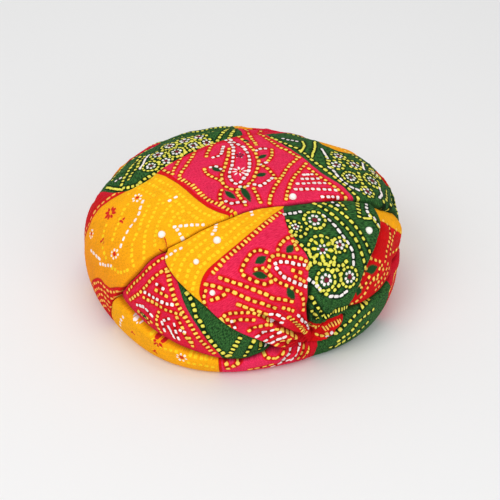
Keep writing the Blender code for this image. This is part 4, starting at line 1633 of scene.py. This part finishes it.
@dataclass
class Wrap:
    """One folded wrap: four sides on the map, how each ends, its form, its dyes and its print."""

    name: str
    # front, back, left and right: each a line or a fold's name, or some of them with their shares
    lines: tuple
    edges: tuple[Edge, Edge, Edge, Edge]
    level: float
    puff: float
    # the charts of its patches, with commas between them
    dyes: str
    flat: tuple[float, float]
    area: float
    seed: int
    rim_shade: float = 0.2
    cell: float = 1.7
    hem_rows: tuple[float, ...] = (0.15, 0.5, 1.0, 1.7, 2.6, 3.7)
    hem_share: float = 0.3
    # soft creases: length and breadth in mm, depth in mm, and their ridges' fineness and depth
    crease_size: tuple[float, float] = (48.0, 11.0)
    crease_depth: float = 0.6
    ridge_finer: tuple[float, float] = (1.7, 1.3)
    ridge_depth: float = 0.5
    # depth and width in mm of the groove along a fold
    groove: tuple[float, float] = (1.6, 0.9)
    # share of brightness that the painted shade takes from the gather's creases at their darkest
    crease_shade: float = 0.55
    # painted shade along a fold: the share of its brightness that the cloth loses on it, and over how many mm
    fold_shade: tuple[float, float] = (0.4, 1.1)
    pucker_size: float = 7.0
    pucker_depth: float = 0.16

    def __post_init__(self) -> None:
        """Join the sides and read the patches."""
        self.sides = [Side(line) for line in self.lines]
        self.patches = tuple(Patch.read(text) for text in self.dyes.split(","))

    def patch_points(self, along: Array, across: Array) -> Array:
        """Places inside the four sides, blended from all of them.

        Args:
            along: Shares from the left side to the right one.
            across: Shares from the front side to the back one.

        Returns:
            The places on the map.
        """
        front, back, left, right = self.sides
        along = np.asarray(along, float)
        across = np.asarray(across, float)
        u, v = along[..., None], across[..., None]
        ruled = (1 - v) * front.at(along) + v * back.at(along)
        ends = (1 - u) * left.at(across) + u * right.at(across)
        start, end = np.array(0.0), np.array(1.0)
        front_blend = (1 - u) * front.at(start) + u * front.at(end)
        back_blend = (1 - u) * back.at(start) + u * back.at(end)
        return ruled + ends - (1 - v) * front_blend - v * back_blend

    def shares(self, count: int, length: float, edges: tuple[Edge, Edge]) -> Array:
        """Shares of a length, closer together towards both ends.

        Args:
            count: How many even steps the middle has.
            length: The length in mm.
            edges: How the cloth ends at its start and end.

        Returns:
            Shares from near 0 to near 1, that leave the fold gap open.
        """
        rows = np.array(self.hem_rows)
        rows = rows * min(1.0, self.hem_share * length / rows[-1]) / length
        first, last = rows.copy(), rows.copy()
        for side, edge in ((first, edges[0]), (last, edges[1])):
            if edge is Edge.FLOOR:
                side[0] = 0.0
        middle = np.linspace(first[-1], 1 - last[-1], count)[1:-1]
        return np.concatenate([first, middle, 1 - last[::-1]])

    def lay_out(self) -> None:
        """Fill the map between the sides with a grid of places, and its distances to them."""
        front, back, left, right = self.edges
        ends = self.patch_points([0, 1], [0.5, 0.5])
        self.length = float(np.linalg.norm(ends[1] - ends[0]))
        probe = np.linspace(0, 1, 41)
        lengthwise = self.patch_points(*np.meshgrid(probe, probe, indexing="ij"))
        points = DOME.outer(lengthwise) / MM
        longest = np.linalg.norm(np.diff(points, axis=0), axis=2).sum(axis=0).max()
        broadest = np.linalg.norm(np.diff(points, axis=1), axis=2).sum(axis=1).max()
        along = self.shares(round(longest / self.cell), self.length, (left, right))
        for share in self.sides[0].breaks + self.sides[1].breaks:
            along[np.abs(along - share).argmin()] = share
        count = max(6, round(broadest / self.cell))
        breadths = np.linalg.norm(self.patch_points(along, 0 * along)
                                  - self.patch_points(along, 0 * along + 1), axis=1)
        self.across = np.stack([self.shares(count, breadth, (front, back))
                                for breadth in breadths])
        self.along = np.repeat(along[:, None], self.across.shape[1], axis=1)
        self.breadth = np.repeat(breadths[:, None], self.across.shape[1], axis=1)
        self.places = self.patch_points(self.along, self.across)
        self.relief = self.heights()

    def creases(self) -> Array:
        """Relief in mm of soft creases along the wrap, and of a fine pucker all over it."""
        along_finer, across_finer = self.ridge_finer
        creases = np.zeros(self.along.shape)
        points = np.stack([self.along * self.length, self.across * self.breadth], axis=-1)
        for index in np.ndindex(*self.along.shape):
            x, y = points[index] / self.crease_size
            soft = noise.noise(Vector((x, y, self.seed)))
            ridge = 1 - 2 * abs(noise.noise(Vector((x * along_finer, y * across_finer,
                                                    self.seed + 7.3))))
            right, back = self.places[index]
            fine = noise.noise(Vector((right / self.pucker_size, back / self.pucker_size, 3.1)))
            creases[index] = (self.crease_depth * (soft + self.ridge_depth * max(ridge, 0.2) ** 4)
                              + self.pucker_depth * fine)
        return creases

    def heights(self) -> Array:
        """Relief in mm of the cloth at every place of the grid."""
        swell = 16 * self.along * (1 - self.along) * self.across * (1 - self.across)
        relief = self.level + self.puff * swell + GATHER.relief(self.places) + self.creases()
        for edge, distance in self.edge_distances():
            relief = relief - edge.drop(distance)
            if edge is not Edge.FLOOR:
                relief = relief - self.groove[0] * np.clip(1 - distance / self.groove[1], 0, 1)
        return relief

    def edge_distances(self) -> zip:
        """Each edge with its distance in mm from every place of the grid."""
        return zip(self.edges, (
            self.across * self.breadth, (1 - self.across) * self.breadth,
            self.along * self.length, (1 - self.along) * self.length))

    def brightness(self) -> Array:
        """Share of its brightness that the cloth keeps under the shade painted into pinched creases and along folds.
        """
        kept = 1 - self.crease_shade * GATHER.crushed(self.places)
        loss, width = self.fold_shade
        for edge, distance in self.edge_distances():
            if edge not in (Edge.FLOOR, Edge.PLAIN):
                kept = kept * (1 - loss * np.clip(1 - distance / width, 0, 1))
        return kept

    def closed_mesh(self) -> tuple[Mesh, Array]:
        """The wrap's outer cloth, walled down to its underside.

        Returns:
            The mesh, and the place on the map of each of its vertices.
        """
        rows, columns = self.along.shape
        outer = DOME.raised(self.places, self.relief).reshape(-1, 3)
        base = DOME.base(self.places).reshape(-1, 3)
        number = np.arange(rows * columns).reshape(rows, columns)
        top = np.stack([number[:-1, :-1], number[1:, :-1], number[1:, 1:], number[:-1, 1:]],
                       axis=-1).reshape(-1, 4)
        rim = np.concatenate([number[:, 0], number[-1, 1:], number[-2::-1, -1],
                              number[0, -2:0:-1]])
        ahead = np.roll(rim, -1)
        under = rows * columns
        wall = np.stack([rim, rim + under, ahead + under, ahead], axis=1)
        faces = np.concatenate([top, top[:, ::-1] + under, wall])
        mesh = bpy.data.meshes.new(self.name)
        mesh.from_pydata(np.concatenate([outer, base]).tolist(), [], faces.tolist())
        face_outwards(mesh)
        return mesh, np.tile(self.places.reshape(-1, 2), (2, 1))

    def lay_cloth_uv(self, mesh: Mesh) -> None:
        """Give the mesh a map of the cloth in metres, for its weave.

        Args:
            mesh: The mesh of the wrap.
        """
        points = DOME.outer(self.places)
        sides = [running(np.linalg.norm(np.diff(points, axis=axis), axis=2).mean(axis=1 - axis))
                 for axis in (0, 1)]
        flat = np.stack(np.meshgrid(*sides, indexing="ij"), axis=-1).reshape(-1, 2)
        flat = np.tile(flat, (2, 1))[corner_vertices(mesh)]
        layer = mesh.uv_layers.new(name="cloth")
        layer.data.foreach_set("uv", flat.astype(np.float32).ravel())

    def printed(self) -> Print:
        """The wrap's print, drawn from its chart."""
        cloth = Print(self.patches, self.seed, self.rim_shade)
        cloth.draw(CHARTS.get(self.name, ""), self)
        return cloth

    def build(self, material: Material) -> Object:
        """Args:
            material: The printed cotton.

        Returns:
            The piece.
        """
        self.lay_out()
        mesh, places = self.closed_mesh()
        self.lay_cloth_uv(mesh)
        self.printed().dress(mesh, places)
        # the painted shade of creases and folds, for the outer cloth and its underside
        write_attribute(mesh, "kept", np.tile(self.brightness().ravel(), 2))
        piece = finish_piece(f"{self.name}_cloth", mesh, material, "printed_cotton", self.name)
        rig.sheet(piece, flat=self.flat, held="folded", area=self.area)
        return piece


HEM, ROLL, TUCKED, DEEP, PLAIN, FLOOR = Edge


@dataclass
class Turban:
    """The turban: its folded wraps, the inner turns under them and the pearls on them."""

    cotton: PrintedCotton = PrintedCotton()
    inner_cotton: DyedCotton = DyedCotton()
    pearl: PearlisedAcrylic = PearlisedAcrylic()

    def wraps(self) -> list[Wrap]:
        """Every wrap in the order of winding, with its front, back, left and right sides."""
        pocket = fold("roll_top", 0, 0.96), fold("fan_left", 0, 0.97)
        lens = fold("back_hem", 0.03, 0.985), fold("rear_hem_left", 0.04, 0.98)
        toe = fold("tuck_foot", 0.1, 1), fold("fan_toe", 0.12, 1)
        crease = FLOOR_STARTS["left_crease"]
        gather = FLOOR_STARTS["gather_line"]
        back_end = FLOOR_STARTS["back_hem_end"]
        return [
            Wrap("front_rim_roll",
                 (floor_line(crease, gather), ("roll_top", 0.8, "fan_foot", 0.2),
                  "left_crease", "gather_line"),
                 (FLOOR, ROLL, TUCKED, PLAIN), level=1.6, puff=0.4,
                 dyes="yellow .15 -rim_yellow_pink, red 0 +rim_yellow_pink",
                 flat=(0.204, 0.052), area=0.0068, seed=1, rim_shade=0.0, cell=1.2),
            Wrap("rear_rim_roll",
                 (floor_line(gather, FULL_TURN + back_end),
                  (fold("tuck_foot", 1, 0), 0.1, "side_foot", 0.3, "rear_foot", 0.6),
                  "gather_line", "back_hem_end"),
                 (FLOOR, ROLL, PLAIN, TUCKED), level=0.8, puff=0.4,
                 dyes="red .1 -75:-61, green 0 -61:-24, red .6 -24:18, yellow .2 18:62,"
                      "green 0 62:108, red .4 108:170",
                 flat=(0.552, 0.062), area=0.0230, seed=2),
            Wrap("rear_wrap",
                 ("rear_foot", ("rear_hem_right", 0.36, fold("rear_hem_left", 1, 0), 0.64),
                  "rear_hem_end", "back_hem_foot"),
                 (DEEP, HEM, HEM, TUCKED), level=0.8, puff=0.8,
                 dyes="green 0 0:18, red .9 18:25, green 0 25:35, yellow .3 35:51,"
                      "red .5 51:86, yellow .5 86:95, green 0 95:131, red .6 131:147,"
                      "yellow .7 147:175",
                 flat=(0.387, 0.086), area=0.0250, seed=3, crease_size=(26, 15),
                 crease_depth=1.4),
            Wrap("back_left_wrap",
                 (lens[0], lens[1], straight(lens[0][0], lens[1][0]),
                  straight(lens[0][-1], lens[1][-1])),
                 (TUCKED, TUCKED, PLAIN, PLAIN), level=-0.6, puff=1.8,
                 dyes="green 0 +back_red_green +back_green_pink, red .7 -back_red_green,"
                      "red .35 -back_green_pink",
                 flat=(0.233, 0.075), area=0.0097, seed=4, crease_size=(24, 14),
                 crease_depth=1.1),
            Wrap("side_wrap", ("side_foot", "right_hem", fold("fan_right", 1, 0), "rear_hem_end"),
                 (TUCKED, TUCKED, TUCKED, TUCKED), level=-1.8, puff=1.0,
                 dyes="red 1 -side_red_orange, yellow .1 +side_red_orange",
                 flat=(0.131, 0.107), area=0.0054, seed=5),
            Wrap("brow_wrap",
                 (pocket[0], pocket[1], "left_hem", straight(pocket[0][-1], pocket[1][-1])),
                 (DEEP, TUCKED, TUCKED, PLAIN), level=-1.6, puff=0.6,
                 dyes="red .3 -brow_pink_green, green 0 +brow_pink_green",
                 flat=(0.155, 0.075), area=0.0069, seed=6),
            Wrap("knot_tuck", (toe[0], toe[1], straight(toe[0][0], toe[1][0]), "fan_end"),
                 (HEM, TUCKED, PLAIN, PLAIN), level=1.0, puff=2.0, dyes="red .45",
                 flat=(0.046, 0.026), area=0.00067, seed=7, cell=1.2),
            Wrap("front_wrap",
                 (("fan_left", 0.8, "fan_foot", 0.2), ("fan_right", 0.74, "fan_toe", 0.26),
                  "front_hem", "fan_end"),
                 (HEM, HEM, TUCKED, PLAIN), level=0.8, puff=1.6,
                 dyes="yellow .05 -fan_yellow_pink, red .2 +fan_yellow_pink -fan_pink_green,"
                      "red .55 +toe_red +fan_pink_green, green 0 +fan_pink_green -toe_red",
                 flat=(0.178, 0.206), area=0.0205, seed=8, cell=1.1),
            Wrap("crown_wrap",
                 (("left_crease", 0.17, "left_hem", 0.17, "front_hem", 0.5, "right_hem", 0.16),
                  ("back_hem_end", 0.1, "back_hem_foot", 0.09, "back_hem", 0.81),
                  floor_line(crease, back_end), "rear_hem_right"),
                 (HEM, HEM, FLOOR, TUCKED), level=1.0, puff=0.8,
                 dyes="yellow 0 -crown_yellow_pink +crown_red_yellow +crown_dark_yellow,"
                      "red .7 -crown_red_yellow, red 1 -crown_dark_yellow,"
                      "red .15 +crown_yellow_pink -crown_pink_green,"
                      "yellow .3 +crown_green_yellow,"
                      "green 0 +crown_pink_green -crown_green_yellow",
                 flat=(0.386, 0.150), area=0.0394, seed=9, rim_shade=0.6),
        ]

    def build(self) -> None:
        """Build every piece."""
        cotton = self.cotton.material()
        wraps = {wrap.name: wrap for wrap in self.wraps()}
        for wrap in wraps.values():
            wrap.build(cotton)
        InnerTurns().build(self.inner_cotton.material())
        PearlStuds().build(wraps, self.pearl.material())


@dataclass
class InnerTurns:
    """The thick inner turns: a wound wall, open below, with an oval hollow for the head."""

    width: float = 0.204
    depth: float = 0.178
    height: float = 0.100
    power: float = 2.8
    layer_gap: float = 0.0009
    sides: int = 132
    outer_rings: int = 56
    hollow_rings: int = 60
    turns: float = 5.0
    turn_step: float = 0.0016

    def rings(self) -> Array:
        """Points of the wall in rings, from the top of the outside to the top of the hollow."""
        angle = np.linspace(0, 2 * math.pi, self.sides, endpoint=False)[None]
        inside = DOME.wrap_thickness + self.layer_gap
        radius, rise = DOME.profile(inside, DOME.inner_tuck)
        reach = np.linspace(0, DOME.arc[-1], self.outer_rings)
        outside = DOME.plan(np.interp(reach, DOME.arc, radius)[:, None],
                            np.interp(reach, DOME.arc, rise)[:, None], angle)
        quarter = np.linspace(0, math.pi / 2, self.hollow_rings)[:, None]
        out = np.abs(np.cos(quarter)) ** (2 / self.power) * (quarter < math.pi / 2 - 1e-9)
        up = np.sin(quarter) ** (2 / self.power)
        phase = (quarter / (math.pi / 2) * self.turns + angle / (2 * math.pi)) % 1
        ends = np.clip(np.minimum(quarter, math.pi / 2 - quarter) * 6, 0, 1)
        layer = self.turn_step * (phase ** 3) * ends
        hollow = np.stack([
            (self.width / 2 * out - layer * out) * np.cos(angle),
            (self.depth / 2 * out - layer * out) * np.sin(angle),
            (self.height * up - layer * up) + 0 * angle,
        ], axis=-1)
        return np.concatenate([outside, hollow])

    def build(self, material: Material) -> Object:
        """Args:
            material: The dyed cotton.

        Returns:
            The piece.
        """
        points = self.rings()
        rings, sides = points.shape[:2]
        number = np.arange(rings * sides).reshape(rings, sides)
        ahead = np.roll(number, -1, axis=1)
        faces = np.stack([number[:-1], ahead[:-1], ahead[1:], number[1:]], axis=-1)
        mesh = bpy.data.meshes.new("under_wrap")
        mesh.from_pydata(points.reshape(-1, 3).tolist(), [], faces.reshape(-1, 4).tolist())
        face_outwards(mesh, merged=1e-6)
        piece = finish_piece("under_wrap_turns", mesh, material, "printed_cotton", "under_wrap")
        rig.padded(piece, fill=0.9)
        return piece


@dataclass
class PearlStuds:
    """Half-round pearl studs, flat behind, that lie on two of the wraps."""

    large: float = 0.0066
    small: float = 0.0049
    rise: float = 0.52
    seat_gap: float = 0.05
    segments: int = 32
    rings: int = 16
    # node, mm right, mm back, large or not, wrap that carries it
    places: tuple[tuple, ...] = (
        ("pearl_1", -71, -80, True, "crown_wrap"),
        ("pearl_2", -22, -92, True, "front_wrap"),
        ("pearl_3", 41, -41, True, "crown_wrap"),
        ("pearl_4", 109, -60, True, "front_wrap"),
        ("pearl_5", -40, -110, False, "front_wrap"),
        ("pearl_6", -27, -138, False, "front_wrap"),
    )

    def seats(self, wraps: dict[str, Wrap]) -> Object:
        """A point for each stud on its wrap, with its direction and diameter.

        Args:
            wraps: The wraps by their names.

        Returns:
            An object with one point for each stud.
        """
        mesh = bpy.data.meshes.new("pearl_seats")
        seats, facing, sizes = [], [], []
        for _, right, back, is_large, carrier in self.places:
            wrap = wraps[carrier]
            away = np.linalg.norm(wrap.places - np.array([right, back]), axis=-1)
            nearest = np.unravel_index(away.argmin(), away.shape)
            place = wrap.places[nearest]
            relief = wrap.relief[nearest] + self.seat_gap
            seats.append(DOME.raised(place[None], np.array([relief]))[0])
            facing.append(DOME.normals(place[None])[0])
            sizes.append(self.large if is_large else self.small)
        mesh.from_pydata([tuple(seat) for seat in seats], [], [])
        write_attribute(mesh, "facing", np.array(facing))
        write_attribute(mesh, "diameter", np.array(sizes))
        return add_object("pearl_seats", mesh)

    def tree(self, material: Material) -> NodeTree:
        """A node tree that sets a half-round stud on every point.

        Args:
            material: The studs' finish.

        Returns:
            The tree, with its sizes as named inputs.
        """
        tree = bpy.data.node_groups.new("half-round studs", "GeometryNodeTree")
        for name, kind in (("Seats", "NodeSocketGeometry"), ("Rise", "NodeSocketFloat"),
                           ("Segments", "NodeSocketInt"), ("Rings", "NodeSocketInt")):
            tree.interface.new_socket(name, in_out="INPUT", socket_type=kind)
        tree.interface.new_socket("Studs", in_out="OUTPUT", socket_type="NodeSocketGeometry")
        add = partial(add_node, tree)
        seats, rise, segments, rings, _ = add("NodeGroupInput").outputs
        ball = add("GeometryNodeMeshUVSphere", segments, rings, 0.5)
        place = add("GeometryNodeInputPosition")
        x, y, z = add("ShaderNodeSeparateXYZ", place).outputs
        above = add("ShaderNodeMath", z, 0.0, operation="MAXIMUM")
        twice = add("ShaderNodeMath", rise, 2.0, operation="MULTIPLY")
        raised = add("ShaderNodeMath", above, twice, operation="MULTIPLY")
        halved = add("ShaderNodeCombineXYZ", x, y, raised)
        stud = add("GeometryNodeSetPosition", ball, None, halved)
        facing = add("GeometryNodeInputNamedAttribute", "facing", data_type="FLOAT_VECTOR")
        size = add("GeometryNodeInputNamedAttribute", "diameter", data_type="FLOAT")
        turn = add("FunctionNodeAlignRotationToVector", None, None, facing, axis="Z")
        studs = add("GeometryNodeInstanceOnPoints", seats, None, stud, None, None, turn, size)
        real = add("GeometryNodeRealizeInstances", studs)
        add("NodeGroupOutput", add("GeometryNodeSetMaterial", real, None, material))
        return tree

    def build(self, wraps: dict[str, Wrap], material: Material) -> Object:
        """Build the studs with the node tree and turn them into one plain mesh.

        Args:
            wraps: The wraps by their names.
            material: The studs' finish.

        Returns:
            The piece.
        """
        seats = self.seats(wraps)
        tree = self.tree(material)
        modifier = seats.modifiers.new("studs", "NODES")
        modifier.node_group = tree
        sizes = {"Rise": self.rise, "Segments": self.segments, "Rings": self.rings}
        for item in tree.interface.items_tree:
            if item.name in sizes:
                modifier[item.identifier] = sizes[item.name]
        evaluated = seats.evaluated_get(bpy.context.evaluated_depsgraph_get())
        mesh = bpy.data.meshes.new_from_object(evaluated)
        bpy.data.objects.remove(seats)
        nodes = [row[0] for row in self.places]
        return finish_piece("pearl_studs", mesh, material, "pearl", *nodes)


@dataclass
class Studio:
    """The floor, the soft lights and the camera of the photograph's view."""

    floor_size: float = 8.0
    target: tuple[float, float, float] = (-0.0011, -0.0029, 0.045)
    distance: float = 1.3
    elevation: float = 38.0
    lens: float = 104.8
    shift: tuple[float, float] = (0.0174, -0.0088)
    world_light: float = 0.56
    # name, place in metres, size in metres, watts
    lights: tuple[tuple, ...] = (
        ("key softbox", (-0.9, -0.9, 1.5), 1.1, 11.5),
        ("fill softbox", (0.8, -1.4, 0.5), 1.1, 8.5),
        ("top softbox", (0.0, 0.5, 1.7), 1.2, 7.0),
    )

    def build(self) -> None:
        """Add the floor, the lights and the camera."""
        self.add_floor()
        for name, place, size, watts in self.lights:
            self.add_light(name, place, size, watts)
        world = bpy.data.worlds.new("even studio walls")
        world.use_nodes = True
        background = world.node_tree.nodes["Background"]
        background.inputs["Color"].default_value = linear("#FFFFFF")
        background.inputs["Strength"].default_value = self.world_light
        bpy.context.scene.world = world
        bpy.context.scene.view_settings.view_transform = "Standard"
        self.add_camera()

    def add_floor(self) -> None:
        """Add the plain pale floor."""
        bm = bmesh.new()
        bmesh.ops.create_grid(bm, x_segments=1, y_segments=1, size=self.floor_size / 2)
        mesh = bpy.data.meshes.new("floor")
        bm.to_mesh(mesh)
        bm.free()
        mesh.materials.append(FloorPaper().material())
        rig.stage(add_object("floor", mesh))

    def add_light(self, name: str, place: tuple[float, float, float], size: float,
                  watts: float) -> None:
        """Add one square softbox that faces the turban.

        Args:
            name: Its name.
            place: Its middle in metres.
            size: Its side in metres.
            watts: Its power.
        """
        light = bpy.data.lights.new(name, "AREA")
        light.size = size
        light.energy = watts
        item = add_object(name, light)
        item.location = place
        towards = Vector(self.target) - Vector(place)
        item.rotation_euler = towards.to_track_quat("-Z", "Y").to_euler()

    def add_camera(self) -> None:
        """Add the camera at the photograph's viewing angle."""
        camera = bpy.data.cameras.new("photograph view")
        camera.lens = self.lens
        camera.shift_x, camera.shift_y = self.shift
        item = add_object("photograph view", camera)
        rise = math.radians(self.elevation)
        towards = Vector((0, math.cos(rise), -math.sin(rise)))
        item.location = Vector(self.target) - towards * self.distance
        item.rotation_euler = (math.pi / 2 - rise, 0, 0)
        bpy.context.scene.camera = item


def as_lists(bounds: object) -> list:
    """Bounds as plain lists of numbers."""
    return [[float(value) for value in corner] for corner in bounds]


def main() -> None:
    """Build the turban and its studio, and note the sizes."""
    logging.basicConfig(level=logging.INFO, format="%(name)s: %(message)s")
    Studio().build()
    Turban().build()
    bpy.context.view_layer.update()
    with open(SIZE_FILE, "w", encoding="utf-8") as note:
        json.dump({"cad": as_lists(CAD_BOUNDS), "visual": as_lists(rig.bounds())}, note)


if __name__ == "__main__":
    main()
